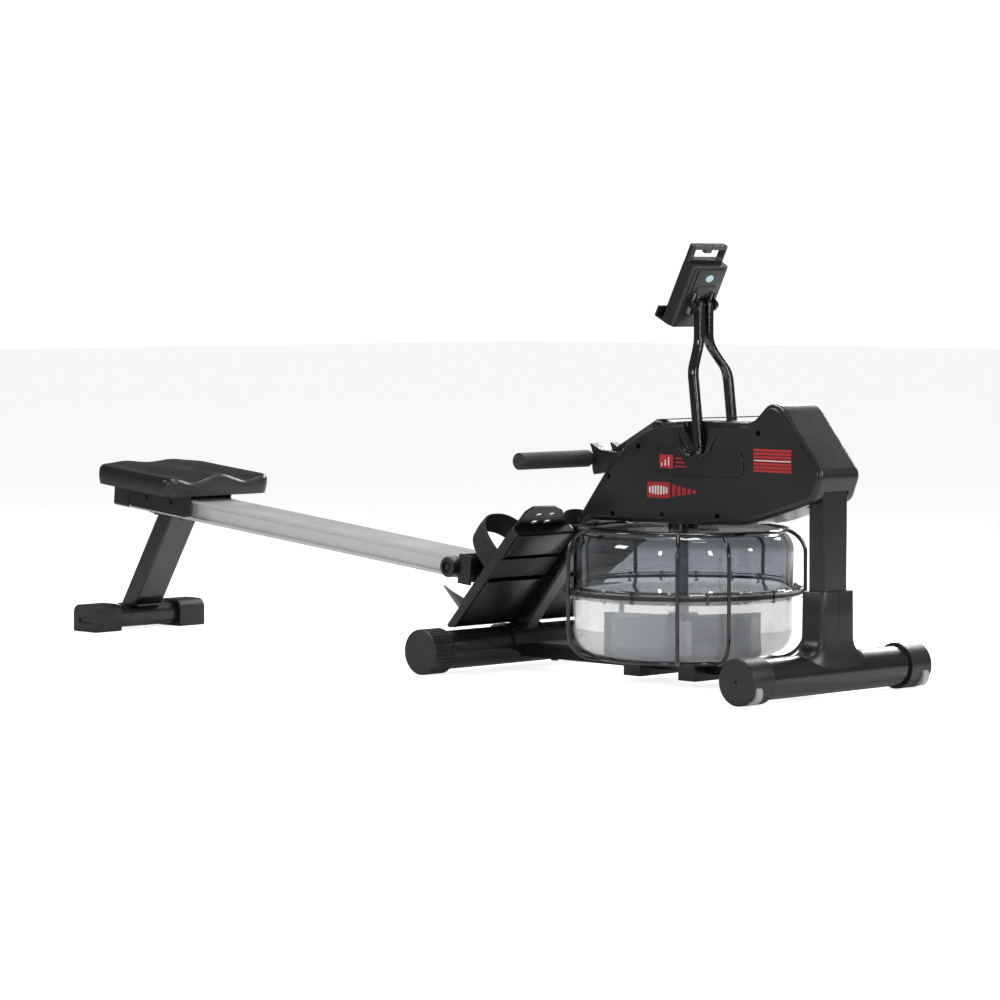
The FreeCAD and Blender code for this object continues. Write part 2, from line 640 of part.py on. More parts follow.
# ================================================================ tank
def tank_solid(radius, low, top, low_round, top_round):
    """Drum with a round shoulder and a round foot."""
    drum = cylinder_z(TANK_X, 0, radius, low, top)
    low_rims = [e for e in drum.Edges if e.Length > 500 and e.BoundBox.ZMax < low + 1]
    drum = drum.makeFillet(low_round, low_rims)
    top_rims = [e for e in drum.Edges if e.Length > 500 and e.BoundBox.ZMin > top - 1]
    return drum.makeFillet(top_round, top_rims)


def tank_inside():
    return tank_solid(TANK_R - TANK_WALL, TANK_LOW + TANK_WALL, TANK_TOP - TANK_WALL, 44, 40)


def tank():
    shell = tank_solid(TANK_R, TANK_LOW, TANK_TOP, 48, 44).cut(tank_inside())
    half_seal = SEAL_THICK / 2
    upper = shell.common(box(TANK_X - 300, TANK_X + 300, -300, 300, FLANGE_Z + half_seal, 400))
    lower = shell.common(box(TANK_X - 300, TANK_X + 300, -300, 300, 0, FLANGE_Z - half_seal))
    above = FLANGE_Z + half_seal
    below = FLANGE_Z - half_seal
    top_flange = ring_z(TANK_X, 0, FLANGE_R, TANK_R - TANK_WALL, above, above + FLANGE_THICK)
    low_flange = ring_z(TANK_X, 0, FLANGE_R, TANK_R - TANK_WALL, below - FLANGE_THICK, below)
    foot = ring_z(TANK_X, 0, 135, 120, BEAM_Z[1], TANK_LOW)
    bolts = flange_bolts()
    neck = cylinder_z(TANK_X, 0, 30.2, TANK_TOP - 20, TANK_TOP + 5)
    filler = cylinder_z(*FILLER, 20.0, TANK_TOP - 20, TANK_TOP + 5)
    keep("tank_upper", fuse([upper, top_flange]).cut(neck).cut(filler).cut(bolts))
    keep("tank_lower", fuse([lower, low_flange, foot]).cut(bolts))
    seal = ring_z(TANK_X, 0, FLANGE_R - 1, TANK_R - TANK_WALL, FLANGE_Z - half_seal, FLANGE_Z + half_seal)
    keep("tank_seal", seal.cut(bolts))
    keep("flange_bolts", bolts)
    plug = cylinder_z(*FILLER, 20.0, TANK_TOP - TANK_WALL, TANK_TOP)
    cap = cylinder_z(*FILLER, 25.0, TANK_TOP, TANK_TOP + 6)
    keep("fill_plug", fuse([plug, cap]))


def flange_bolts():
    bolts = []
    half = SEAL_THICK / 2 + FLANGE_THICK
    for i in range(FLANGE_BOLTS):
        angle = math.radians(360 / FLANGE_BOLTS * i - 90)
        x = TANK_X + BOLT_CIRCLE * math.cos(angle)
        y = BOLT_CIRCLE * math.sin(angle)
        shank = cylinder_z(x, y, 2.5, FLANGE_Z - half - 6, FLANGE_Z + half)
        head = cylinder_z(x, y, 4.8, FLANGE_Z + half, FLANGE_Z + half + 4)
        nut = cylinder_z(x, y, 4.5, FLANGE_Z - half - 4, FLANGE_Z - half)
        bolts.append(fuse([shank, head, nut]))
    return Part.makeCompound(bolts)


def cage_bar(angle):
    """One upright wire of the cage, from the foot ring round the tank to the top ring."""
    bend = CAGE_BEND
    out = CAGE_R - bend
    foot = Vector(CAGE_FOOT_R, 0, CAGE_FOOT_Z)
    turn = Vector(out, 0, CAGE_FOOT_Z)
    low_mid = Vector(out + bend * math.sin(math.pi / 4), 0, CAGE_FOOT_Z + bend * (1 - math.cos(math.pi / 4)))
    low = Vector(CAGE_R, 0, CAGE_FOOT_Z + bend)
    high = Vector(CAGE_R, 0, 262)
    high_mid = Vector(CAGE_R - 7, 0, 281)
    top = Vector(CAGE_TOP_R, 0, CAGE_TOP_Z)
    edges = [Part.makeLine(foot, turn), Part.Arc(turn, low_mid, low).toShape(), Part.makeLine(low, high),
             Part.Arc(high, high_mid, top).toShape()]
    profile = Part.Wire(Part.makeCircle(CAGE_WIRE, foot, turn - foot))
    bar = Part.Wire(edges).makePipeShell([profile], True, False)
    bar.rotate(Vector(0, 0, 0), AZ, angle)
    bar.translate(Vector(TANK_X, 0, 0))
    return bar


def cage():
    foot_ring = Part.makeTorus(CAGE_FOOT_R, CAGE_WIRE, Vector(TANK_X, 0, CAGE_FOOT_Z))
    top_ring = Part.makeTorus(CAGE_TOP_R, CAGE_WIRE, Vector(TANK_X, 0, CAGE_TOP_Z))
    whole = foot_ring.fuse(top_ring)
    for angle in CAGE_BAR_ANGLES:
        whole = whole.fuse(cage_bar(angle))
    keep("tank_cage", whole)


def water_and_impeller():
    water = tank_inside().common(box(TANK_X - 300, TANK_X + 300, -300, 300, 0, WATER_LEVEL))
    swept = cylinder_z(TANK_X, 0, PADDLE_R + 3, PADDLE_Z[0] - 4, PADDLE_Z[1] + 3)
    keep("water", water.cut(swept).cut(cylinder_z(TANK_X, 0, 13, PADDLE_Z[1], WATER_LEVEL + 1)))
    shaft = cylinder_z(TANK_X, 0, 10, PADDLE_Z[0], DRUM_Z[1] + 8)
    hub = cylinder_z(TANK_X, 0, 18, PADDLE_Z[0], PADDLE_Z[1])
    blades = [shaft, hub]
    for i in range(BLADES):
        blade = box(TANK_X + 10, TANK_X + PADDLE_R, -1.5, 1.5, PADDLE_Z[0], PADDLE_Z[1] - 6)
        tip = box(TANK_X + PADDLE_R - 3, TANK_X + PADDLE_R, -1.5, 22, PADDLE_Z[0], PADDLE_Z[1] - 6)
        blade = blade.fuse(tip)
        blade.rotate(Vector(TANK_X, 0, 0), AZ, 360 / BLADES * i + 10)
        blades.append(blade)
    rim = ring_z(TANK_X, 0, 26, 18, PADDLE_Z[1] - 6, PADDLE_Z[1])
    keep("impeller", fuse(blades + [rim]))
    bearing = ring_z(TANK_X, 0, 30, 10.06, TANK_TOP - 10, TOP_BEAM_Z[0])
    sleeve = ring_z(TANK_X, 0, 16.8, 10.06, TOP_BEAM_Z[0], TOP_BEAM_Z[1] + 1)
    keep("shaft_bearing", fuse([bearing, sleeve]))


# ================================================================ housing
def housing_outer():
    """Half of the outer form, from the seam to the +Y face, with a rounded edge."""
    solid = prism_y(HOUSING_OUTLINE, 0, HOUSING_HALF)
    edges = []
    for edge in solid.Edges:
        bounds = edge.BoundBox
        if bounds.YMin > HOUSING_HALF - 0.01:
            edges.append(edge)
    return solid.makeFillet(HOUSING_ROUND, edges)


def housing_inner():
    """Hollow of one shell; it steps inward near the face, to follow the rounded edge outside."""
    face = Part.Face(round_path(HOUSING_OUTLINE))
    layers = []
    for inset, depth in HOUSING_STEPS:
        smaller = face.makeOffset2D(-inset)
        layer = smaller.extrude(Vector(0, depth + 1, 0))
        layer.translate(Vector(0, -1, 0))
        layers.append(layer)
    return fuse(layers)


def pocket(grow):
    """Space for one fork foot: a notch in the shell's top edge and side, narrower at its foot."""
    top = 540.0
    points = ((POCKET_FLOOR_X[0] - grow, POCKET_Z - grow), (POCKET_FLOOR_X[1] + grow, POCKET_Z - grow),
              (POCKET_X[1] + grow, top), (POCKET_X[0] - grow, top))
    return polygon_y(points, HOUSING_HALF - POCKET_DEEP - grow, HOUSING_HALF + 5)


def housing_shell():
    outer = housing_outer()
    cavity = housing_inner().cut(pocket(HOUSING_WALL))
    bosses = []
    recesses = []
    for x, z in SCREW_PLACES:
        bosses.append(cylinder_y(x, z, 9, 36, HOUSING_HALF))
        recesses.append(cylinder_y(x, z, 5.5, 46, HOUSING_HALF + 2))
        recesses.append(cylinder_y(x, z, 2.0, 35, 46))
    bosses = outer.common(Part.makeCompound(bosses))
    shell = outer.cut(cavity).fuse(bosses).cut(pocket(0)).cut(Part.makeCompound(recesses))
    post_rear = FRONT_X - POST_X / 2 - 9
    post_front = FRONT_X + POST_X / 2 + 1
    post_hole = box(post_rear, post_front, -1, POST_Y / 2 + 1, 300, POST_TOP + 3)
    shaft_hole = cylinder_z(TANK_X, 0, 31, 290, 345)
    crest_slot = box(578, 640, -1, 21, 470, 530)
    hump_slot = box(862, 946, -1, 15, 505, 546)
    for hole in (post_hole, neck(1), shaft_hole, crest_slot, hump_slot):
        shell = shell.cut(hole)
    return shell.common(box(300, 1200, 0.15, 100, 200, 700))


def housing():
    shell = housing_shell()
    panel = prism_y(((622.0, 466.0, 24.0), (868.0, 466.0, 24.0), (868.0, 411.0, 24.0), (622.0, 411.0, 24.0)),
                    HOUSING_HALF, HOUSING_HALF + 2.5)
    panel = panel.cut(pocket(4))
    screws = []
    for x, z in SCREW_PLACES:
        head = cylinder_y(x, z, 4.4, 46, 49)
        shank = cylinder_y(x, z, 1.9, 37, 46)
        screws.append(fuse([head, shank]))
    for side, sign in SIDES:
        keep("housing_" + side, on_side(shell, sign))
    keep("side_panels", both_sides(panel))
    keep("housing_screws", both_sides(Part.makeCompound(screws)))


def handle_cradle():
    """Two cheeks with an open jaw that the handle bar is drawn into, on a plate on the housing's back."""
    x, z = HANDLE
    outline = ((x + 4, z + 33, 2.0), (x + 34, z + 18, 60.0), (x + 100, z + 12, 5.0), (x + 100, z - 30, 5.0),
               (x + 40, z - 27, 10.0), (x + 16, z - 32, 3.0), (x + 12, z - 20, 3.0), (x + 13, z + 9, 2.0),
               (x + 10, z + 20, 4.0))
    cheek = prism_y(outline, 20, 38)
    plate = polygon_y(((x + 60, z - 30), (x + 100, z - 30), (x + 100, z - 6), (x + 60, z - 6)), -38, 38)
    whole = fuse([cheek, mirrored(cheek), plate])
    jaw = cylinder_y(x, z, BAR_R + 0.6, -60, 60)
    entry = box(x - 30, x, -60, 60, z - BAR_R - 0.6, z + BAR_R + 0.6)
    body = housing_outer()
    whole = whole.cut(jaw).cut(entry).cut(body).cut(mirrored(body))
    keep("handle_cradle", whole.common(box(x - 30, x + 92, -60, 60, 380, 480)))


# ================================================================ strap, pulleys and recoil
def tangent_angle(a, b):
    """Angle of the line that lies on top of circle a and circle b, each (x, z, radius)."""
    dx = b[0] - a[0]
    dz = b[1] - a[1]
    return math.atan2(dz, dx) + math.asin((a[2] - b[2]) / math.hypot(dx, dz)) * -1


def strap_run(a, b):
    """Flat strap lying on top of circles a and b, as a solid between its two tangent points."""
    angle = tangent_angle(a, b)
    nx = -math.sin(angle)
    nz = math.cos(angle)
    points = []
    outer = STRAP_GAP + STRAP_THICK
    for circle, extra in ((a, STRAP_GAP), (b, STRAP_GAP), (b, outer), (a, outer)):
        reach = circle[2] + extra
        points.append((circle[0] + nx * reach, circle[1] + nz * reach))
    return polygon_y(points, -STRAP_HALF, STRAP_HALF)


def strap_wrap(circle, start, end):
    """Part of the strap that lies round a circle, between two angles above the X axis."""
    inner = circle[2] + STRAP_GAP
    outer = inner + STRAP_THICK
    middle = (start + end) / 2
    points = []
    for radius in (inner, outer):
        for angle in (start, middle, end):
            x = circle[0] + radius * math.cos(angle)
            z = circle[1] + radius * math.sin(angle)
            points.append(Vector(x, -STRAP_HALF, z))
    edges = [Part.Arc(points[0], points[1], points[2]).toShape(), Part.makeLine(points[2], points[5]),
             Part.Arc(points[5], points[4], points[3]).toShape(), Part.makeLine(points[3], points[0])]
    return Part.Face(Part.Wire(edges)).extrude(Vector(0, 2 * STRAP_HALF, 0))


def straps():
    first = tangent_angle(CLIP, GUIDE)
    second = tangent_angle(GUIDE, PULLEY)
    right_angle = math.pi / 2
    outer = strap_run(CLIP, GUIDE)
    keep("pull_strap", outer.common(box(CLIP[0] + 4, GUIDE[0] + 50, -20, 20, 400, 600)))
    over_guide = strap_wrap(GUIDE, second + right_angle, first + right_angle)
    across = strap_run(GUIDE, PULLEY)
    round_pulley = strap_wrap(PULLEY, -right_angle, second + right_angle)
    low = PULLEY[1] - PULLEY[2] - STRAP_GAP
    side = DRUM_R + STRAP_GAP
    z0 = DRUM_Z[0] + 1.5
    z1 = z0 + 2 * STRAP_HALF
    x_start = PULLEY[0]
    under = low - STRAP_THICK
    flat = [Vector(x_start, STRAP_HALF, low), Vector(x_start, -STRAP_HALF, low),
            Vector(x_start, -STRAP_HALF, under), Vector(x_start, STRAP_HALF, under)]
    x_end = TANK_X + 56
    upright = [Vector(x_end, -side, z1), Vector(x_end, -side, z0),
               Vector(x_end, -side - STRAP_THICK, z0), Vector(x_end, -side - STRAP_THICK, z1)]
    onto_drum = box(TANK_X, x_end, -side - STRAP_THICK, -side, z0, z1)
    flat_end = Part.makePolygon(flat + [flat[0]])
    upright_end = Part.makePolygon(upright + [upright[0]])
    twist = Part.makeLoft([flat_end, upright_end], True, True)
    keep("inner_strap", over_guide.fuse(across).fuse(round_pulley).fuse(twist).fuse(onto_drum))
    keep("recoil_cord", Part.makeCylinder(3.5, TANK_X - 545.0, Vector(545.0, CORD_Y, CORD_Z), AX))


def pulleys():
    x, z, radius = GUIDE
    roller = ring_y(x, z, radius, 4.06, -14, 14)
    keep("guide_roller", roller)
    x, z, radius = PULLEY
    pulley = ring_y(x, z, radius, 6.06, -14, 14)
    flange = ring_y(x, z, radius + 4, radius - 4, 14, 16)
    pulley = fuse([pulley, flange, mirrored(flange)])
    for i in range(5):
        angle = 2 * math.pi * i / 5
        pulley = pulley.cut(cylinder_y(x + 20 * math.cos(angle), z + 20 * math.sin(angle), 6, -20, 20))
    keep("front_pulley", pulley)
    z0, z1 = DRUM_Z
    core = ring_z(TANK_X, 0, DRUM_R, 10.06, z0 - 4, z1 + 4)
    layers = [core]
    for low, high in ((z0 - 4, z0), (z0 + 28, z0 + 31), (z1 + 1, z1 + 4)):
        layers.append(ring_z(TANK_X, 0, DRUM_R + 8, 10.06, low, high))
    groove = ring_z(TANK_X, 0, DRUM_R + 1, CORD_Y - 4, z0 + 31, z1 + 1)
    keep("strap_drum", fuse(layers).cut(groove))


# ================================================================ handle
def handle():
    x, z = HANDLE
    bar = ring_y(x, z, BAR_R, BAR_R - 2, -HANDLE_HALF + 5, HANDLE_HALF - 5)
    keep("handle_bar", bar)
    grip = ring_y(x, z, GRIP_R, BAR_R + 0.1, 40, HANDLE_HALF - 5)
    cap = cylinder_y(x, z, GRIP_R, HANDLE_HALF - 5, HANDLE_HALF)
    cap = cap.makeFillet(3, [e for e in cap.Edges if e.BoundBox.YMin > HANDLE_HALF - 1])
    keep("handle_grips", both_sides(fuse([grip, cap])))
    clip = ring_y(x, z, BAR_R + 5, BAR_R + 0.1, -16, 16)
    tail = box(x + BAR_R + 1, CLIP[0] + 4, -15, 15, CLIP[1] - 6, CLIP[1] + 6)
    keep("strap_clip", fuse([clip, tail.cut(cylinder_y(x, z, BAR_R + 2, -20, 20))]))


# ================================================================ console and fork
def fork_section(x, y, z):
    corners = [Vector(x - FORK_X / 2, y - FORK_Y / 2, z), Vector(x + FORK_X / 2, y - FORK_Y / 2, z),
               Vector(x + FORK_X / 2, y + FORK_Y / 2, z), Vector(x - FORK_X / 2, y + FORK_Y / 2, z)]
    return Part.makePolygon(corners + [corners[0]])


def console_fork():
    y_foot = HOUSING_HALF - POCKET_DEEP + FORK_Y / 2
    stations = ((745.0, y_foot, 460.0), (727.0, y_foot, 606.0), (724.0, y_foot - 2, 618.0),
                (709.0, 15.0, 664.0), (PIVOT[0], 13.0, 676.0), (PIVOT[0], 13.0, PIVOT[1]))
    leg = Part.makeLoft([fork_section(x, y, z) for x, y, z in stations], True, True)
    head = cylinder_y(PIVOT[0], PIVOT[1], FORK_X / 2, 13 - FORK_Y / 2, 13 + FORK_Y / 2)
    leg = leg.fuse(head).cut(cylinder_y(PIVOT[0], PIVOT[1], 4.06, -40, 40))
    keep("console_fork", both_sides(leg))


def console():
    back = -CONSOLE_THICK
    tall = CONSOLE_TALL
    half = CONSOLE_HALF
    body = rounded_box(0, CONSOLE_BODY, -half, half, back, 0, 7, AX)
    top = rounded_box(CONSOLE_BODY - 10, tall, -half, half, -16, 0, 6, AX)
    window = box(CONSOLE_BODY + 5, tall - 7, -half + 8, half - 8, -30, 5)
    tab = box(tall - 16, tall - 6, -9, 9, -12, -4)
    shelf = box(-3, 0, -half + 4, half - 4, -20, 20)
    pad = rounded_box(-3, 20, -half + 4, half - 4, 17, 22, 2, AY)
    case = fuse([body.fuse(top).cut(window), tab, shelf, pad])
    screen = box(34, 122, -half + 8, half - 8, -2, 0)
    case = case.cut(screen)
    for i, name in enumerate(BUTTONS):
        y = (i - 1) * BUTTON_PITCH
        case = case.cut(cylinder_z(18, y, BUTTON_R + 0.3, -4.4, 1))
        button = cylinder_z(18, y, BUTTON_R, -2.8, 1.8)
        keep("button_" + name, placed(button, CONSOLE_PLACE))
    keep("console_case", placed(case, CONSOLE_PLACE))
    keep("console_screen", placed(screen, CONSOLE_PLACE))


def console_bracket():
    """Two cheeks and a plate behind the console, with the pin that it tilts on."""
    inverse = CONSOLE_PLACE.inverse()
    pivot = inverse.multVec(Vector(PIVOT[0], 0, PIVOT[1]))
    back = -CONSOLE_THICK
    cheek = box(pivot.x - 22, pivot.x + 22, 21.5, 27, pivot.z, back)
    ear = Part.makeCylinder(13, 5.5, Vector(pivot.x, 21.5, pivot.z), AY)
    plate = box(pivot.x - 22, pivot.x + 22, -27, 27, back - 3, back)
    pin = Part.makeCylinder(4, 74, Vector(pivot.x, -37, pivot.z), AY)
    knob = Part.makeCylinder(8, 8, Vector(pivot.x, 27, pivot.z), AY)
    side = fuse([cheek, ear, knob])
    keep("console_bracket", placed(fuse([side, mirrored(side), plate, pin]), CONSOLE_PLACE))


# ================================================================ bolts
def frame_bolts():
    bolts = []
    for y in (-42, 42):
        for angle in (48, 132):
            direction = Vector(math.cos(math.radians(angle)), 0, math.sin(math.radians(angle)))
            seat_point = Vector(MID_X, y, MID_CAP_R) + direction * (TUBE_R + 5)
            bolts.append(bolt(seat_point.x, y, seat_point.z, direction, 7, 5, 4, 12))
    bolts.append(bolt(300, 0, BEAM_Z[0], Vector(0, 0, -1), 8, 6, 4, 6))
    for u in (68, 160):
        for y in (-28, 28):
            bolts.append(placed(bolt(u, y, -5, Vector(0, 0, -1), 6, 4, 3, 8), RAIL_PLACE))
    hosts = ("main_strut", "mid_stabiliser", "base_beam", "rear_leg", "rail")
    group = Part.makeCompound(bolts)
    for host in hosts:
        keep(host, PARTS[host].cut(group))
    board_bolts = []
    for u in (60, 190, 232):
        for y in (BOARD_Y[0] + 30, BOARD_Y[1] - 34):
            head = placed(bolt(u, y, -7, Vector(0, 0, -1), 6, 4, 3, 7), BOARD_PLACE)
            board_bolts.append(head)
            board_bolts.append(mirrored(head))
    group = Part.makeCompound(board_bolts)
    keep("footboards", PARTS["footboards"].cut(group))
    feet = []
    for z in (470.0, 492.0):
        y = HOUSING_HALF - POCKET_DEEP + FORK_Y
        x = 745.0 - (z - 460.0) * 18 / 146
        head = bolt(x, y, z, AY, 5, 3, 3, FORK_Y)
        feet.append(head)
        feet.append(mirrored(head))
    group = Part.makeCompound(feet)
    keep("console_fork", PARTS["console_fork"].cut(group))
    keep("frame_bolts", Part.makeCompound(bolts + board_bolts + feet))


# ================================================================ the whole machine
BUILDERS = (front_stabiliser, transport_wheels, middle_stabiliser, rear_foot, front_post, post_boots,
            main_strut, base_beam, top_beam, rail, rail_rear_cap, rail_bracket, rail_bumpers, rear_leg,
            seat, carriage, rollers, footboards, pedals, foot_straps, heel_cups, tank, cage,
            water_and_impeller, housing, handle_cradle, straps, pulleys, handle, console_fork, console,
            console_bracket, frame_bolts)

for build in BUILDERS:
    build()

for name in sorted(PARTS):
    shape = PARTS[name]
    if not shape.isValid():
        print("INVALID", name)
    shape.exportStep(os.path.join("parts", name + ".step"))
print(len(PARTS), "parts")
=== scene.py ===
"""Looks of a water rowing machine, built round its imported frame.

Metres, in the frame of the CAD model: +X runs from the rear foot to the tank, +Y to the rower's
left, +Z up, and the floor is at Z = 0.
"""
import json
import logging
import math
from dataclasses import dataclass
from enum import Enum
from typing import Callable, Optional, Sequence

import bmesh
import bpy
from mathutils import Matrix, Vector


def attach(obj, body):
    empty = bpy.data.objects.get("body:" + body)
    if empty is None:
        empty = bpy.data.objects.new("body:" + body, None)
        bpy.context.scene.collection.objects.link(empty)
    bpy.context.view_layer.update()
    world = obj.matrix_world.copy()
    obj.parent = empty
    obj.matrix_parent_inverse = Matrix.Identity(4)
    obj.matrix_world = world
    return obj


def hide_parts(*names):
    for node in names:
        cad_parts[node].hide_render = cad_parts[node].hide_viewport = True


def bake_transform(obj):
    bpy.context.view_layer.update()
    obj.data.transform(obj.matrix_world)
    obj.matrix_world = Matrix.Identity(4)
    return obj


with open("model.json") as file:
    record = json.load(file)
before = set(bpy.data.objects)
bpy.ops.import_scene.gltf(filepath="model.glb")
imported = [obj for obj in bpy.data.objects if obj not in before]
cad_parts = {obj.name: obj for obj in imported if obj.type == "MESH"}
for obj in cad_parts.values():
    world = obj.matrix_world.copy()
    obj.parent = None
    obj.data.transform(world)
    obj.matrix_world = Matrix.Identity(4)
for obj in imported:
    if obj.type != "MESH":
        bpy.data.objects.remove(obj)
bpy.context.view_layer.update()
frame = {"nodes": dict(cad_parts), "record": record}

LOG = logging.getLogger("rower")
Point = tuple[float, float, float]
Colour = tuple[float, float, float]


# ================================================================ node trees
class Graph:
    """Short hand for filling one node tree."""

    def __init__(self, tree: bpy.types.NodeTree) -> None:
        """Starts on a tree that is already there."""
        self.tree = tree

    def node(self, kind: str, inputs: Optional[dict] = None, **settings: object) -> bpy.types.Node:
        """Adds a node.

        Args:
            kind: the node's type name.
            inputs: socket name or number to a value, or to the output socket that feeds it.
            settings: the node's own properties.

        Returns:
            The new node.
        """
        made = self.tree.nodes.new(kind)
        for name, value in settings.items():
            setattr(made, name, value)
        for key, value in (inputs or {}).items():
            if isinstance(value, bpy.types.NodeSocket):
                self.tree.links.new(value, made.inputs[key])
            else:
                made.inputs[key].default_value = value
        return made

    def maths(self, operation: str, *values: object) -> bpy.types.NodeSocket:
        """Adds a Math node and returns its output."""
        return self.node("ShaderNodeMath", dict(enumerate(values)), operation=operation).outputs[0]

    def span(self, value: object, low: float, high: float, to_low: float = 0.0,
             to_high: float = 1.0) -> bpy.types.NodeSocket:
        """Maps a value's range onto another, with smooth ends.

        Args:
            value: the number or socket.
            low: where its range starts.
            high: where its range ends.
            to_low: what the start becomes.
            to_high: what the end becomes.

        Returns:
            The node's output.
        """
        made = self.node("ShaderNodeMapRange", {"Value": value, "From Min": low, "From Max": high,
                                                "To Min": to_low, "To Max": to_high},
                         interpolation_type="SMOOTHSTEP")
        return made.outputs["Result"]

    def mix(self, factor: object, first: object, second: object) -> bpy.types.NodeSocket:
        """Adds a node that mixes two colours and returns its output."""
        return self.node("ShaderNodeMix", {0: factor, 6: first, 7: second}, data_type="RGBA").outputs[2]

    def noise(self, where: bpy.types.NodeSocket, scale: object, detail: float) -> bpy.types.NodeSocket:
        """Adds a noise texture and returns its level."""
        return self.node("ShaderNodeTexNoise", {"Vector": where, "Scale": scale,
                                                "Detail": detail}).outputs["Fac"]

    def feed(self, output: bpy.types.NodeSocket, node: bpy.types.Node, name: str) -> None:
        """Links an output to a node's named input."""
        self.tree.links.new(output, node.inputs[name])

    def bump(self, shader: bpy.types.Node, height: bpy.types.NodeSocket, depth: float,
             strength: float = 1.0) -> None:
        """Feeds a shader's normal from a height, in metres at full depth."""
        made = self.node("ShaderNodeBump", {"Height": height, "Distance": depth, "Strength": strength})
        self.feed(made.outputs["Normal"], shader, "Normal")


def shader_group(name: str, inputs: Sequence[tuple[str, float]], outputs: Sequence[str],
                 fill: Callable[[Graph, bpy.types.Node], Sequence[bpy.types.NodeSocket]]) -> bpy.types.NodeTree:
    """Makes a shader node group once.

    Args:
        name: the group's name.
        inputs: each input's name and default.
        outputs: the names of the outputs, all plain numbers.
        fill: adds the group's nodes and returns one socket for each output.

    Returns:
        The group's tree.
    """
    found = bpy.data.node_groups.get(name)
    if found:
        return found
    tree = bpy.data.node_groups.new(name, "ShaderNodeTree")
    for label, value in inputs:
        socket = tree.interface.new_socket(label, in_out="INPUT", socket_type="NodeSocketFloat")
        socket.default_value = value
    for label in outputs:
        tree.interface.new_socket(label, in_out="OUTPUT", socket_type="NodeSocketFloat")
    graph = Graph(tree)
    entry = graph.node("NodeGroupInput")
    exit_node = graph.node("NodeGroupOutput")
    for index, socket in enumerate(fill(graph, entry)):
        tree.links.new(socket, exit_node.inputs[index])
    return tree


def object_coordinates(graph: Graph) -> bpy.types.NodeSocket:
    """The object's own coordinates, in metres."""
    return graph.node("ShaderNodeTexCoord").outputs["Object"]


def fill_grain(graph: Graph, entry: bpy.types.Node) -> Sequence[bpy.types.NodeSocket]:
    """Fine pebbled moulding texture, and a slow change of tone over the surface.

    Args:
        graph: the group's tree.
        entry: its input node.

    Returns:
        The relief's height, and the tone.
    """
    where = object_coordinates(graph)
    cells = graph.node("ShaderNodeTexVoronoi", {"Vector": where, "Scale": entry.outputs["Scale"]},
                       feature="SMOOTH_F1")
    fine = graph.noise(where, entry.outputs["Scale"], 2.0)
    height = graph.maths("ADD", graph.maths("MULTIPLY", cells.outputs["Distance"], 0.6),
                         graph.maths("MULTIPLY", fine, 0.4))
    return height, graph.noise(where, 7.0, 3.0)


def fill_scuff(graph: Graph, entry: bpy.types.Node) -> Sequence[bpy.types.NodeSocket]:
    """Sparse rubbed patches broken up by short scratches.

    Args:
        graph: the group's tree.
        entry: its input node.

    Returns:
        How rubbed each place is.
    """
    where = object_coordinates(graph)
    patch = graph.noise(where, entry.outputs["Scale"], 4.0)
    stretched = graph.node("ShaderNodeMapping", {"Vector": where, "Rotation": (0.3, 0.5, 0.9),
                                                 "Scale": (40.0, 700.0, 40.0)})
    streak = graph.noise(stretched.outputs[0], 1.0, 3.0)
    rubbed = graph.span(patch, 0.55, 0.8)
    lines = graph.span(streak, 0.52, 0.72)
    return (graph.maths("MULTIPLY", graph.maths("MULTIPLY", rubbed, lines), entry.outputs["Amount"]),)


def fill_dust(graph: Graph, entry: bpy.types.Node) -> Sequence[bpy.types.NodeSocket]:
    """Light dust that settles on what faces up.

    Args:
        graph: the group's tree.
        entry: its input node.

    Returns:
        How dusty each place is.
    """
    up = graph.node("ShaderNodeSeparateXYZ", {0: graph.node("ShaderNodeNewGeometry").outputs["Normal"]})
    drift = graph.noise(object_coordinates(graph), 22.0, 6.0)
    lying = graph.span(up.outputs["Z"], 0.35, 1.0)
    clumps = graph.span(drift, 0.35, 0.75, 0.35, 1.0)
    return (graph.maths("MULTIPLY", graph.maths("MULTIPLY", lying, clumps), entry.outputs["Amount"]),)


def fill_brush(graph: Graph, entry: bpy.types.Node) -> Sequence[bpy.types.NodeSocket]:
    """Fine lines along X, as an extruded or drawn surface has.

    Args:
        graph: the group's tree.
        entry: its input node.

    Returns:
        The height of the lines.
    """
    stretched = graph.node("ShaderNodeMapping", {"Vector": object_coordinates(graph),
                                                 "Scale": (3.0, 900.0, 900.0)})
    return (graph.noise(stretched.outputs[0], entry.outputs["Scale"], 4.0),)


def fill_weave(graph: Graph, entry: bpy.types.Node) -> Sequence[bpy.types.NodeSocket]:
    """Plain weave of warp and weft on the piece's own UV map, in metres.

    Args:
        graph: the group's tree.
        entry: its input node.

    Returns:
        The threads' height, and which of them lies on top.
    """
    across = graph.node("ShaderNodeSeparateXYZ", {0: graph.node("ShaderNodeUVMap",
                                                                uv_map="UVMap").outputs[0]})
    turn = graph.maths("MULTIPLY", entry.outputs["Threads"], math.pi)
    u = graph.maths("MULTIPLY", across.outputs["X"], turn)
    v = graph.maths("MULTIPLY", across.outputs["Y"], turn)
    warp = graph.maths("ABSOLUTE", graph.maths("SINE", u))
    weft = graph.maths("ABSOLUTE", graph.maths("SINE", v))
    halves = graph.maths("MULTIPLY", graph.maths("SINE", graph.maths("MULTIPLY", u, 0.5)),
                         graph.maths("SINE", graph.maths("MULTIPLY", v, 0.5)))
    over = graph.span(halves, -0.1, 0.1)
    height = graph.maths("ADD", graph.maths("MULTIPLY", warp, over),
                         graph.maths("MULTIPLY", weft, graph.maths("SUBTRACT", 1.0, over)))
    return height, over


# ================================================================ finishes
class Pattern(Enum):
    """Small-scale relief of a surface."""

    GRAIN = "grain"
    BRUSH = "brush"
    WEAVE = "weave"


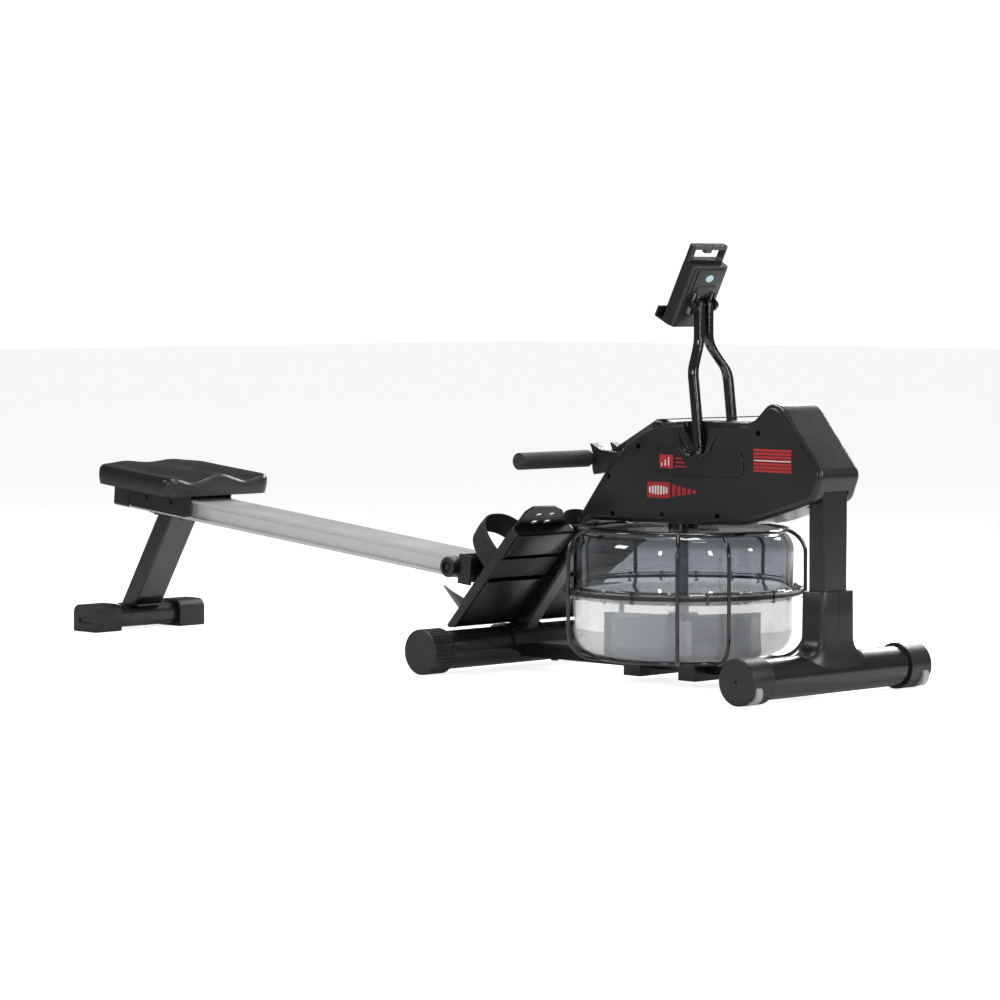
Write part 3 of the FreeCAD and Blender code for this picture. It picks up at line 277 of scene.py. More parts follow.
class Surface:
    """What every finish shares: a material that is built the first time that it is asked for."""

    name: str

    def material(self) -> bpy.types.Material:
        """Finds the material by its name, or builds it.

        Returns:
            The material.
        """
        found = bpy.data.materials.get(self.name)
        if found:
            return found
        made = bpy.data.materials.new(self.name)
        made.use_nodes = True
        self.fill(Graph(made.node_tree), made.node_tree.nodes["Principled BSDF"])
        return made

    def fill(self, graph: Graph, shader: bpy.types.Node) -> None:
        """Fills the material's tree; each kind of finish has its own way."""
        raise NotImplementedError


@dataclass(frozen=True)
class Finish(Surface):
    """One surface finish: colour, gloss, relief and wear."""

    name: str
    colour: Colour
    roughness: float
    metallic: float = 0.0
    coat: float = 0.0
    sheen: float = 0.0
    pattern: Pattern = Pattern.GRAIN
    scale: float = 900.0
    relief: float = 0.0001
    tone: float = 0.12
    scuff: float = 0.3
    dust: float = 0.06
    rubbed: Colour = (0.30, 0.30, 0.31)

    def fill(self, graph: Graph, shader: bpy.types.Node) -> None:
        """Sets gloss and sheen, and links colour, roughness and relief.

        Args:
            graph: the material's tree.
            shader: its Principled BSDF.
        """
        for name, value in (("Metallic", self.metallic), ("Coat Weight", self.coat),
                            ("Coat Roughness", 0.08), ("Sheen Weight", self.sheen), ("Sheen Roughness", 0.4)):
            shader.inputs[name].default_value = value
        height, slow = self.relief_of(graph)
        self.colour_of(graph, shader, slow)
        graph.bump(shader, height, self.relief, 0.7)

    def relief_of(self, graph: Graph) -> tuple[bpy.types.NodeSocket, bpy.types.NodeSocket]:
        """Places the groups that give the relief.

        Args:
            graph: the material's tree.

        Returns:
            The relief's height, and a slow change of tone.
        """
        grain = group_node(graph, "moulding_grain", {"Scale": self.scale})
        relief = grain
        if self.pattern is Pattern.BRUSH:
            relief = group_node(graph, "drawn_lines", {"Scale": 1.0})
        elif self.pattern is Pattern.WEAVE:
            relief = group_node(graph, "webbing_weave", {"Threads": self.scale})
        return relief.outputs["Height"], grain.outputs["Tone"]

    def colour_of(self, graph: Graph, shader: bpy.types.Node, slow: bpy.types.NodeSocket) -> None:
        """Links colour and roughness, both changed by tone, scuffs and dust.

        Args:
            graph: the material's tree.
            shader: its Principled BSDF.
            slow: the slow change of tone.
        """
        scuffed = group_node(graph, "scuffs", {"Scale": 14.0, "Amount": self.scuff}).outputs["Mask"]
        dusted = group_node(graph, "settled_dust", {"Amount": self.dust}).outputs["Mask"]
        base = graph.mix(slow, rgba(self.colour, 1 - self.tone), rgba(self.colour, 1 + self.tone))
        worn = graph.mix(scuffed, base, rgba(self.rubbed))
        graph.feed(graph.mix(dusted, worn, rgba(DUST)), shader, "Base Color")
        spread = graph.span(slow, 0.3, 0.7, self.roughness * 0.88, self.roughness * 1.12)
        rough = graph.maths("ADD", spread, graph.maths("MULTIPLY", dusted, 0.4))
        rough = graph.maths("MINIMUM", graph.maths("ADD", rough, graph.maths("MULTIPLY", scuffed, 0.25)),
                            1.0)
        graph.feed(rough, shader, "Roughness")


DUST: Colour = (0.55, 0.54, 0.52)
GROUPS: dict[str, tuple[Sequence[tuple[str, float]], Sequence[str], Callable]] = {
    "moulding_grain": ((("Scale", 900.0),), ("Height", "Tone"), fill_grain),
    "scuffs": ((("Scale", 14.0), ("Amount", 0.3)), ("Mask",), fill_scuff),
    "settled_dust": ((("Amount", 0.1),), ("Mask",), fill_dust),
    "drawn_lines": ((("Scale", 1.0),), ("Height",), fill_brush),
    "webbing_weave": ((("Threads", 700.0),), ("Height", "Over"), fill_weave),
}


def group_node(graph: Graph, name: str, values: dict) -> bpy.types.Node:
    """Places one of the shared groups in a material with its own values.

    Args:
        graph: the material's tree.
        name: the group's name.
        values: its inputs, by name.

    Returns:
        The group node.
    """
    made = graph.node("ShaderNodeGroup", node_tree=shader_group(name, *GROUPS[name]))
    for label, value in values.items():
        made.inputs[label].default_value = value
    return made


def rgba(colour: Colour, factor: float = 1.0) -> tuple[float, float, float, float]:
    """A colour with alpha, brightened or darkened by a factor."""
    return (colour[0] * factor, colour[1] * factor, colour[2] * factor, 1.0)


COATED_TUBE = Finish("coated_tube", (0.008, 0.008, 0.009), 0.26, coat=0.2, scale=1500.0, relief=0.00004,
                     dust=0.01, scuff=0.05)
COATED_FLAT = Finish("coated_flat", (0.007, 0.007, 0.007), 0.32, scale=1500.0, relief=0.00005, dust=0.01,
                     scuff=0.05)
FORK_PAINT = Finish("fork_paint", (0.006, 0.006, 0.007), 0.14, coat=0.6, scale=1200.0, relief=0.00001,
                    dust=0.0, scuff=0.03)
HOUSING_GRAIN = Finish("housing_grain", (0.009, 0.009, 0.009), 0.31, scale=1100.0, relief=0.00007,
                       dust=0.01, scuff=0.04)
PANEL_GRAIN = Finish("panel_grain", (0.010, 0.010, 0.011), 0.24, scale=1300.0, relief=0.00004, dust=0.0,
                     scuff=0.03)
CAP_GRAIN = Finish("cap_grain", (0.010, 0.010, 0.010), 0.38, scale=900.0, relief=0.00009, dust=0.015,
                   scuff=0.08)
BOARD_MOULD = Finish("board_mould", (0.009, 0.009, 0.011), 0.29, scale=1000.0, relief=0.00006, dust=0.01,
                     scuff=0.05)
PEDAL_MOULD = Finish("pedal_mould", (0.007, 0.007, 0.008), 0.36, scale=800.0, relief=0.0001, dust=0.02,
                     scuff=0.1)
DARK_RUBBER = Finish("dark_rubber", (0.012, 0.012, 0.012), 0.55, scale=700.0, relief=0.00012)
GRIP_FOAM = Finish("grip_foam", (0.014, 0.014, 0.016), 0.72, sheen=0.15, scale=1600.0, relief=0.00025,
                   scuff=0.1, dust=0.0)
SEAT_SKIN = Finish("seat_skin", (0.010, 0.010, 0.011), 0.34, scale=750.0, relief=0.00012, scuff=0.03,
                   dust=0.01)
ANODISED = Finish("anodised_rail", (0.70, 0.70, 0.69), 0.32, metallic=0.55, pattern=Pattern.BRUSH,
                  relief=0.00003, tone=0.03, scuff=0.1, rubbed=(0.8, 0.8, 0.8), dust=0.03)
DARK_BOLT = Finish("dark_bolt", (0.080, 0.080, 0.084), 0.23, metallic=1.0, scale=1400.0, relief=0.00004,
                   scuff=0.2)
ZINC = Finish("zinc_bolt", (0.55, 0.55, 0.56), 0.28, metallic=1.0, scale=1400.0, relief=0.00004,
              rubbed=(0.75, 0.75, 0.75))
BLACK_SCREW = Finish("black_screw", (0.01, 0.01, 0.01), 0.4, metallic=0.4, scale=1400.0, relief=0.00003)
STAINLESS = Finish("stainless_paddle", (0.20, 0.21, 0.22), 0.36, metallic=0.9, pattern=Pattern.BRUSH,
                   relief=0.00002)
WEBBING = Finish("webbing", (0.014, 0.014, 0.015), 0.72, sheen=0.25, pattern=Pattern.WEAVE, scale=700.0,
                 relief=0.0003, scuff=0.1, dust=0.02)
TOW_STRAP = Finish("tow_strap", (0.018, 0.018, 0.02), 0.6, sheen=0.2, pattern=Pattern.WEAVE, scale=900.0,
                   relief=0.0002, scuff=0.1, dust=0.0)
CORD_JACKET = Finish("cord_jacket", (0.02, 0.02, 0.02), 0.7, scale=1500.0, relief=0.0002)
CONSOLE_GLOSS = Finish("console_gloss", (0.008, 0.008, 0.010), 0.18, coat=0.6, scale=1500.0, relief=0.00002,
                       scuff=0.02, dust=0.0)
CONSOLE_MATT = Finish("console_matt", (0.010, 0.011, 0.012), 0.29, scale=1300.0, relief=0.00006)
BRACKET_GREY = Finish("bracket_grey", (0.26, 0.26, 0.27), 0.32, metallic=0.6, scale=1200.0, relief=0.00005)
BUTTON_RUBBER = Finish("button_rubber", (0.09, 0.09, 0.095), 0.5, scale=1500.0, relief=0.00003, dust=0.0)
WHEEL_SOFT = Finish("wheel_soft", (0.34, 0.34, 0.35), 0.42, scale=1000.0, relief=0.00005,
                    rubbed=(0.5, 0.5, 0.5))
ROLLER_SOFT = Finish("roller_soft", (0.10, 0.10, 0.10), 0.5, scale=1000.0, relief=0.00005)
PRINT_RED = Finish("print_red", (0.42, 0.012, 0.016), 0.4, scale=1300.0, relief=0.00003, tone=0.08,
                   scuff=0.1, dust=0.0)
PRINT_DARK = Finish("print_dark", (0.008, 0.008, 0.008), 0.35, scale=1300.0, relief=0.00002, scuff=0.1,
                    dust=0.0)
PRINT_WHITE = Finish("print_white", (0.75, 0.75, 0.75), 0.4, scale=1300.0, relief=0.00002, scuff=0.05,
                     dust=0.0, rubbed=(0.6, 0.6, 0.6))
STICKER = Finish("sticker", (0.42, 0.62, 0.66), 0.3, scale=1300.0, relief=0.00001, scuff=0.05, dust=0.0)


@dataclass(frozen=True)
class ClearFinish(Surface):
    """Clear or tinted see-through material, which lets light through to what is behind it."""

    name: str
    tint: Colour
    index: float
    roughness: float
    shade: Colour
    ripple: float = 0.0

    def fill(self, graph: Graph, shader: bpy.types.Node) -> None:
        """Makes a transmitting shader whose shadow is a plain tint.

        Args:
            graph: the material's tree.
            shader: its Principled BSDF.
        """
        shader.inputs["Transmission Weight"].default_value = 1.0
        shader.inputs["IOR"].default_value = self.index
        tone = group_node(graph, "moulding_grain", {"Scale": 60.0}).outputs["Tone"]
        graph.feed(graph.mix(tone, rgba(self.tint, 0.97), rgba(self.tint, 1.02)), shader, "Base Color")
        haze = group_node(graph, "scuffs", {"Scale": 9.0, "Amount": 0.25}).outputs["Mask"]
        graph.feed(graph.maths("ADD", graph.maths("MULTIPLY", haze, 0.3), self.roughness), shader,
                   "Roughness")
        if self.ripple:
            graph.bump(shader, graph.noise(object_coordinates(graph), 26.0, 1.0), self.ripple)
        through = graph.node("ShaderNodeBsdfTransparent", {"Color": rgba(self.shade)})
        shadow = graph.node("ShaderNodeLightPath").outputs["Is Shadow Ray"]
        mixed = graph.node("ShaderNodeMixShader", {0: shadow, 1: shader.outputs[0], 2: through.outputs[0]})
        graph.feed(mixed.outputs[0], graph.tree.nodes["Material Output"], "Surface")


TANK_SMOKE = ClearFinish("tank_smoke", (0.34, 0.355, 0.37), 1.5, 0.012, (0.55, 0.56, 0.57))
TANK_CLEAR = ClearFinish("tank_clear", (0.36, 0.345, 0.315), 1.5, 0.012, (0.72, 0.71, 0.69))
WATER_CLEAR = ClearFinish("water_clear", (0.95, 0.945, 0.92), 1.10, 0.0, (0.95, 0.95, 0.93), ripple=0.0004)


@dataclass(frozen=True)
class ScreenFinish(Surface):
    """Grey-green segment display behind a clear window."""

    name: str = "display"
    colour: Colour = (0.27, 0.31, 0.27)

    def fill(self, graph: Graph, shader: bpy.types.Node) -> None:
        """Makes a smooth display with faint horizontal lines.

        Args:
            graph: the material's tree.
            shader: its Principled BSDF.
        """
        shader.inputs["Roughness"].default_value = 0.12
        shader.inputs["Coat Weight"].default_value = 0.8
        where = graph.node("ShaderNodeSeparateXYZ", {0: object_coordinates(graph)})
        line = graph.maths("ABSOLUTE", graph.maths("SINE", graph.maths("MULTIPLY", where.outputs["Z"],
                                                                       5200.0)))
        colour = graph.mix(graph.span(line, 0.8, 1.0), rgba(self.colour), rgba(self.colour, 0.8))
        graph.feed(colour, shader, "Base Color")
        graph.bump(shader, line, 0.00002)


DISPLAY = ScreenFinish()


# ================================================================ pieces
RECORD = frame["record"]
BODY_OF = {node: body for body, nodes in RECORD["behaviour"]["bodies"].items() for node in nodes}
SLOT_OF = {part["node"]: part["material_slot"] for part in RECORD["subparts"]}


def settle(piece: bpy.types.Object, finish: Surface, body: str, slot: str,
           replaces: Sequence[str] = ()) -> None:
    """Gives a finished piece its material and its body.

    Args:
        piece: the object, at the origin.
        finish: its finish.
        body: the body that it moves with.
        slot: the record's material slot; not used.
        replaces: the CAD nodes that it stands for.
    """
    if not piece.data.materials:
        piece.data.materials.append(finish.material())
    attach(piece, body)
    if replaces:
        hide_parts(*replaces)
    LOG.info("%s: %d faces on %s", piece.name, len(piece.data.polygons), body)


def new_piece(name: str, mesh: bpy.types.Mesh) -> bpy.types.Object:
    """Puts a mesh into the scene as an object at the origin.

    Args:
        name: the object's name.
        mesh: its mesh, or curve.

    Returns:
        The object.
    """
    made = bpy.data.objects.new(name, mesh)
    bpy.context.scene.collection.objects.link(made)
    return made


def mesh_from(name: str, sheet: bmesh.types.BMesh, smooth_angle: float = 35.0) -> bpy.types.Mesh:
    """Turns a bmesh into a mesh with outward faces and smooth shading.

    Args:
        name: the mesh's name.
        sheet: the bmesh, which is freed.
        smooth_angle: edges sharper than this many degrees stay sharp.

    Returns:
        The mesh.
    """
    bmesh.ops.remove_doubles(sheet, verts=sheet.verts, dist=1e-6)
    bmesh.ops.recalc_face_normals(sheet, faces=sheet.faces)
    mesh = bpy.data.meshes.new(name)
    sheet.to_mesh(mesh)
    sheet.free()
    mesh.shade_smooth()
    mesh.set_sharp_from_angle(angle=math.radians(smooth_angle))
    return mesh


def skin(sheet: bmesh.types.BMesh, rings: Sequence[Sequence[bmesh.types.BMVert]],
         capped: bool = True) -> list[tuple[int, bmesh.types.BMFace]]:
    """Joins each ring of vertices to the next with quads.

    Args:
        sheet: the bmesh.
        rings: the rings, all of the same count.
        capped: whether the first and last rings are filled too.

    Returns:
        Each quad, with the number of the ring that it starts from.
    """
    quads = []
    for index, (here, after) in enumerate(zip(rings, rings[1:])):
        for step in range(len(here)):
            onward = (step + 1) % len(here)
            quads.append((index, sheet.faces.new((here[step], here[onward], after[onward], after[step]))))
    if capped:
        sheet.faces.new(rings[0])
        sheet.faces.new(rings[-1])
    return quads


def moulded(name: str, sheet: bmesh.types.BMesh, finish: Surface, like: str, replaces: Sequence[str] = (),
            angle: float = 35.0, body: str = "frame") -> bpy.types.Object:
    """Makes a finished piece from a bmesh.

    Args:
        name: the piece's name.
        sheet: the bmesh, which is freed.
        finish: its finish.
        like: a CAD node whose material slot is looked up and passed to settle, which does not use it.
        replaces: the CAD nodes that it stands for.
        angle: edges sharper than this many degrees stay sharp.
        body: the body that it moves with.

    Returns:
        The object.
    """
    piece = new_piece(name, mesh_from(name, sheet, angle))
    settle(piece, finish, body, SLOT_OF[like], replaces)
    return piece


def baked(piece: bpy.types.Object) -> bpy.types.Object:
    """Replaces an object with the plain mesh that its modifiers give.

    Args:
        piece: the object with its modifiers, of any kind.

    Returns:
        A new object of the same name, with no modifier.
    """
    name = piece.name
    graph = bpy.context.evaluated_depsgraph_get()
    mesh = bpy.data.meshes.new_from_object(piece.evaluated_get(graph))
    bpy.data.objects.remove(piece)
    mesh.name = name
    return new_piece(name, mesh)


def refined(node: str, finish: Surface, bevel: float = 0.0, angle: float = 32.0) -> bpy.types.Object:
    """A copy of a CAD node with joined faces, even shading and softened edges.

    Args:
        node: the CAD node.
        finish: its finish.
        bevel: width of the softened edges in metres, 0 for none.
        angle: edges sharper than this many degrees stay sharp or are softened.

    Returns:
        The copy, which replaces the node.
    """
    sheet = bmesh.new()
    sheet.from_mesh(frame["nodes"][node].data)
    bmesh.ops.remove_doubles(sheet, verts=sheet.verts, dist=2e-6)
    bmesh.ops.dissolve_limit(sheet, angle_limit=math.radians(0.4), verts=sheet.verts, edges=sheet.edges)
    mesh = bpy.data.meshes.new(node + "_skin")
    sheet.to_mesh(mesh)
    sheet.free()
    mesh.shade_smooth()
    mesh.set_sharp_from_angle(angle=math.radians(angle))
    piece = new_piece(node + "_skin", mesh)
    if bevel:
        soften = piece.modifiers.new("soft_edges", "BEVEL")
        soften.width = bevel
        soften.segments = 2
        soften.limit_method = "ANGLE"
        soften.angle_limit = math.radians(angle)
        soften.harden_normals = False
        soften.use_clamp_overlap = True
    even = piece.modifiers.new("even_shading", "WEIGHTED_NORMAL")
    even.keep_sharp = True
    settle(piece, finish, BODY_OF[node], SLOT_OF[node], [node])
    return piece


def dress(*rows: tuple[Surface, float, str]) -> None:
    """Refines CAD nodes, one row for each finish.

    Args:
        rows: a finish, the width of its softened edges, and the nodes' names with spaces between.
    """
    for finish, bevel, names in rows:
        for node in names.split():
            refined(node, finish, bevel)


def box_into(sheet: bmesh.types.BMesh, low: Point, high: Point, place: Optional[Matrix] = None,
             round_by: float = 0.0) -> None:
    """Adds a box to a bmesh, with its edges rounded.

    Args:
        sheet: the bmesh.
        low: lowest corner.
        high: highest corner.
        place: where the box goes, after it is made.
        round_by: radius of its edges.
    """
    fresh = bmesh.ops.create_cube(sheet, size=1.0)["verts"]
    centre = [(a + b) / 2 for a, b in zip(low, high)]
    sizes = [b - a for a, b in zip(low, high)]
    matrix = Matrix.Translation(centre) @ Matrix.Diagonal((*sizes, 1.0))
    bmesh.ops.transform(sheet, matrix=matrix, verts=fresh)
    if round_by:
        edges = list({edge for vert in fresh for edge in vert.link_edges})
        done = bmesh.ops.bevel(sheet, geom=edges, offset=round_by, segments=3, profile=0.5, affect="EDGES")
        fresh = list({v for f in done["faces"] for v in f.verts} | {v for v in fresh if v.is_valid})
    if place:
        bmesh.ops.transform(sheet, matrix=place, verts=fresh)


def revolved(name: str, profile: Sequence[tuple[float, float]], centre: Point, segments: int = 144,
             angle: float = 40.0) -> bpy.types.Mesh:
    """Closed mesh turned about an upright axis.

    Args:
        name: the mesh's name.
        profile: closed loop of (radius, height) pairs, the first and last not repeated.
        centre: a point on the axis; heights start from its Z.
        segments: steps round the axis.
        angle: edges sharper than this many degrees stay sharp.

    Returns:
        The mesh.
    """
    sheet = bmesh.new()
    rings = []
    for radius, height in profile:
        if radius < 1e-6:
            rings.append([sheet.verts.new((centre[0], centre[1], centre[2] + height))])
            continue
        ring = []
        for step in range(segments):
            turn = 2 * math.pi * step / segments
            ring.append(sheet.verts.new((centre[0] + radius * math.cos(turn),
                                         centre[1] + radius * math.sin(turn), centre[2] + height)))
        rings.append(ring)
    count = len(rings)
    for index in range(count):
        here, after = rings[index], rings[(index + 1) % count]
        if len(here) == 1 and len(after) == 1:
            continue
        for step in range(segments):
            onward = (step + 1) % segments
            corners = [here[step % len(here)], here[onward % len(here)], after[onward % len(after)],
                       after[step % len(after)]]
            unique = list(dict.fromkeys(corners))
            sheet.faces.new(unique)
    return mesh_from(name, sheet, angle)


def arc(cx: float, cz: float, radius: float, start: float, end: float,
        steps: int) -> list[tuple[float, float]]:
    """Points on an arc, with angles in degrees, both ends included.

    Args:
        cx: the centre's first coordinate.
        cz: the centre's second coordinate.
        radius: the radius.
        start: the angle of the first point.
        end: the angle of the last point.
        steps: how many steps lie between them.

    Returns:
        The points.
    """
    points = []
    for step in range(steps + 1):
        turn = math.radians(start + (end - start) * step / steps)
        points.append((cx + radius * math.cos(turn), cz + radius * math.sin(turn)))
    return points


# ================================================================ geometry trees
def geometry_tree(name: str, inputs: Sequence[tuple[str, str, object]],
                  fill: Callable[[Graph, bpy.types.Node], bpy.types.NodeSocket]) -> bpy.types.NodeTree:
    """Makes a geometry node tree once; it ends in Realize Instances and Set Material.

    Args:
        name: the tree's name.
        inputs: each input's name, socket type and default.
        fill: adds the nodes and returns the geometry before it is realised.

    Returns:
        The tree.
    """
    found = bpy.data.node_groups.get(name)
    if found:
        return found
    tree = bpy.data.node_groups.new(name, "GeometryNodeTree")
    tree.interface.new_socket("Geometry", in_out="INPUT", socket_type="NodeSocketGeometry")
    tree.interface.new_socket("Material", in_out="INPUT", socket_type="NodeSocketMaterial")
    for label, kind, value in inputs:
        socket = tree.interface.new_socket(label, in_out="INPUT", socket_type=kind)
        socket.default_value = value
    tree.interface.new_socket("Geometry", in_out="OUTPUT", socket_type="NodeSocketGeometry")
    graph = Graph(tree)
    entry = graph.node("NodeGroupInput")
    whole = graph.node("GeometryNodeRealizeInstances", {0: fill(graph, entry)})
    dressed = graph.node("GeometryNodeSetMaterial", {"Geometry": whole.outputs[0],
                                                     "Material": entry.outputs["Material"]})
    graph.node("NodeGroupOutput", {0: dressed.outputs[0]})
    return tree


def fill_ring(graph: Graph, entry: bpy.types.Node) -> bpy.types.NodeSocket:
    """Copies of the base mesh round an upright axis, each turned to face outwards.

    Args:
        graph: the tree.
        entry: its input node.

    Returns:
        The copies, not yet realised.
    """
    circle = graph.node("GeometryNodeMeshCircle", {"Vertices": entry.outputs["Count"], "Radius": 1.0})
    index = graph.node("GeometryNodeInputIndex")
    step = graph.maths("DIVIDE", 2 * math.pi, entry.outputs["Count"])
    turn = graph.maths("ADD", graph.maths("MULTIPLY", index.outputs[0], step), entry.outputs["Start"])
    east = graph.maths("MULTIPLY", graph.maths("COSINE", turn), entry.outputs["Radius"])
    north = graph.maths("MULTIPLY", graph.maths("SINE", turn), entry.outputs["Radius"])
    spot = graph.node("ShaderNodeCombineXYZ", {0: east, 1: north})
    spread = graph.node("GeometryNodeSetPosition", {"Geometry": circle.outputs["Mesh"],
                                                    "Position": spot.outputs[0]})
    spin = graph.node("ShaderNodeCombineXYZ", {2: turn})
    placed = graph.node("GeometryNodeInstanceOnPoints", {"Points": spread.outputs[0],
                                                         "Instance": entry.outputs["Geometry"],
                                                         "Rotation": spin.outputs[0]})
    return placed.outputs[0]


def fill_stitches(graph: Graph, entry: bpy.types.Node) -> bpy.types.NodeSocket:
    """Short threads set along the base curve at an even spacing.

    Args:
        graph: the tree.
        entry: its input node.

    Returns:
        The threads, not yet realised.
    """
    even = graph.node("GeometryNodeResampleCurve", {"Curve": entry.outputs["Geometry"],
                                                    "Length": entry.outputs["Spacing"]}, mode="LENGTH")
    size = graph.node("ShaderNodeCombineXYZ", {0: entry.outputs["Thread"], 1: entry.outputs["Thread"],
                                               2: entry.outputs["Stitch"]})
    thread = graph.node("GeometryNodeMeshCube", {"Size": size.outputs[0]})
    tangent = graph.node("GeometryNodeInputTangent")
    lean = graph.node("FunctionNodeAlignEulerToVector", {"Vector": tangent.outputs[0]}, axis="Z")
    placed = graph.node("GeometryNodeInstanceOnPoints", {"Points": even.outputs[0],
                                                         "Instance": thread.outputs[0],
                                                         "Rotation": lean.outputs[0]})
    return placed.outputs[0]


RING_INPUTS = (("Count", "NodeSocketInt", 10), ("Radius", "NodeSocketFloat", 0.1),
               ("Start", "NodeSocketFloat", 0.0))
STITCH_INPUTS = (("Spacing", "NodeSocketFloat", 0.004), ("Thread", "NodeSocketFloat", 0.0006),
                 ("Stitch", "NodeSocketFloat", 0.0026))


def grown(base: bpy.types.Object, tree: bpy.types.NodeTree, finish: Surface,
          **values: object) -> bpy.types.Object:
    """Runs a geometry tree on an object and keeps the plain mesh.

    Args:
        base: the object that the tree works on.
        tree: the geometry tree.
        finish: the finish that Set Material gives.
        values: the tree's named inputs.

    Returns:
        The mesh object.
    """
    modifier = base.modifiers.new("shape", "NODES")
    modifier.node_group = tree
    values["Material"] = finish.material()
    for item in tree.interface.items_tree:
        if item.item_type == "SOCKET" and item.in_out == "INPUT" and item.name in values:
            modifier[item.identifier] = values[item.name]
    return baked(base)


def curve_through(name: str, points: Sequence[Point], closed: bool = False,
                  smooth: bool = True) -> bpy.types.Object:
    """A NURBS or straight-sided curve object through or near a few points.

    Args:
        name: the curve's name.
        points: where it runs.
        closed: whether it ends where it starts.
        smooth: whether it is a NURBS curve.

    Returns:
        The curve object.
    """
    data = bpy.data.curves.new(name, "CURVE")
    data.dimensions = "3D"
    data.twist_mode = "Z_UP"
    spline = data.splines.new("NURBS" if smooth else "POLY")
    spline.points.add(len(points) - 1)
    for index, point in enumerate(points):
        spline.points[index].co = (*point, 1.0)
    spline.use_cyclic_u = closed
    if smooth:
        spline.order_u = 3
        spline.use_endpoint_u = not closed
        spline.resolution_u = 10
    return new_piece(name, data)


# ================================================================ sub-assemblies
@dataclass
class Frame:
    """Steel tubes, beams, caps, feet and the bolts that hold them."""

    edge: float = 0.0008
    post_x: float = 1.030
    tube: float = 0.0392
    axis_z: float = 0.045
    boot_steps: tuple[tuple[float, float, float, float, float], ...] = (
        (0.202, 0.0272, 0.0457, 0.0, 0.22), (0.2005, 0.0280, 0.0465, 0.0, 0.22),
        (0.150, 0.0284, 0.0475, 0.0, 0.24), (0.112, 0.0288, 0.0490, 0.001, 0.28),
        (0.100, 0.0296, 0.0530, 0.004, 0.32),
        (0.0935, 0.0312, 0.0610, 0.010, 0.38), (0.0895, 0.0332, 0.0710, 0.017, 0.44),
        (0.0870, 0.0352, 0.0800, 0.022, 0.50), (0.0855, 0.0368, 0.0850, 0.026, 0.54))

    def boot(self) -> None:
        """Flared cover round the foot of the post, which ends in a saddle on the tube, and its seam."""
        sheet = bmesh.new()
        count = 96
        rings = []
        for z, half_x, half_y, sag, power in self.boot_steps:
            ring = []
            for step in range(count):
                turn = 2 * math.pi * (step + 0.5) / count
                x = half_x * math.copysign(abs(math.cos(turn)) ** power, math.cos(turn))
                y = half_y * math.copysign(abs(math.sin(turn)) ** power, math.sin(turn))
                ring.append(sheet.verts.new((self.post_x + x, y, z - sag * (x / half_x) ** 2)))
            rings.append(ring)
        skirt = []
        for vert in rings[-1]:
            x = vert.co.x - self.post_x
            onto = self.axis_z + math.sqrt(max(self.tube ** 2 - x ** 2, 0.0)) - 0.001
            skirt.append(sheet.verts.new((vert.co.x, vert.co.y * 1.004, onto)))
        rings.append(skirt)
        skin(sheet, rings)
        halves = ["post_boot_left", "post_boot_right"]
        moulded("post_cover", sheet, CAP_GRAIN, "post_boot_left", halves, 50.0)
        seam = bmesh.new()
        for sign in (-1, 1):
            near, far = sorted((self.post_x + sign * 0.0276, self.post_x + sign * 0.0287))
            box_into(seam, (near, -0.0005, 0.112), (far, 0.0005, 0.2015))
        moulded("cover_seam", seam, BLACK_SCREW, "post_boot_left")

    def build(self) -> None:
        """Dresses the frame's CAD nodes."""
        dress((COATED_TUBE, 0.0, "front_stabiliser mid_stabiliser rear_foot_bar"),
              (COATED_TUBE, self.edge, "front_post main_strut rear_leg"),
              (COATED_FLAT, self.edge, "base_beam top_beam rail_bracket"),
              (CAP_GRAIN, self.edge, "front_caps mid_caps rear_foot_caps rail_rear_cap"),
              (DARK_BOLT, 0.0003, "frame_bolts"))
        self.boot()
        dress((WHEEL_SOFT, self.edge, "wheel_left wheel_right"))


@dataclass
class Rail:
    """Extruded rail, its stops, and the seat's carriage and rollers."""

    edge: float = 0.0006

    def build(self) -> None:
        """Dresses the rail and what runs in it."""
        dress((ANODISED, self.edge, "rail"), (DARK_RUBBER, 0.0, "rail_bumpers"),
              (COATED_FLAT, self.edge, "seat_carriage"), (ROLLER_SOFT, 0.0,
                                                          "seat_rollers_front seat_rollers_rear"))


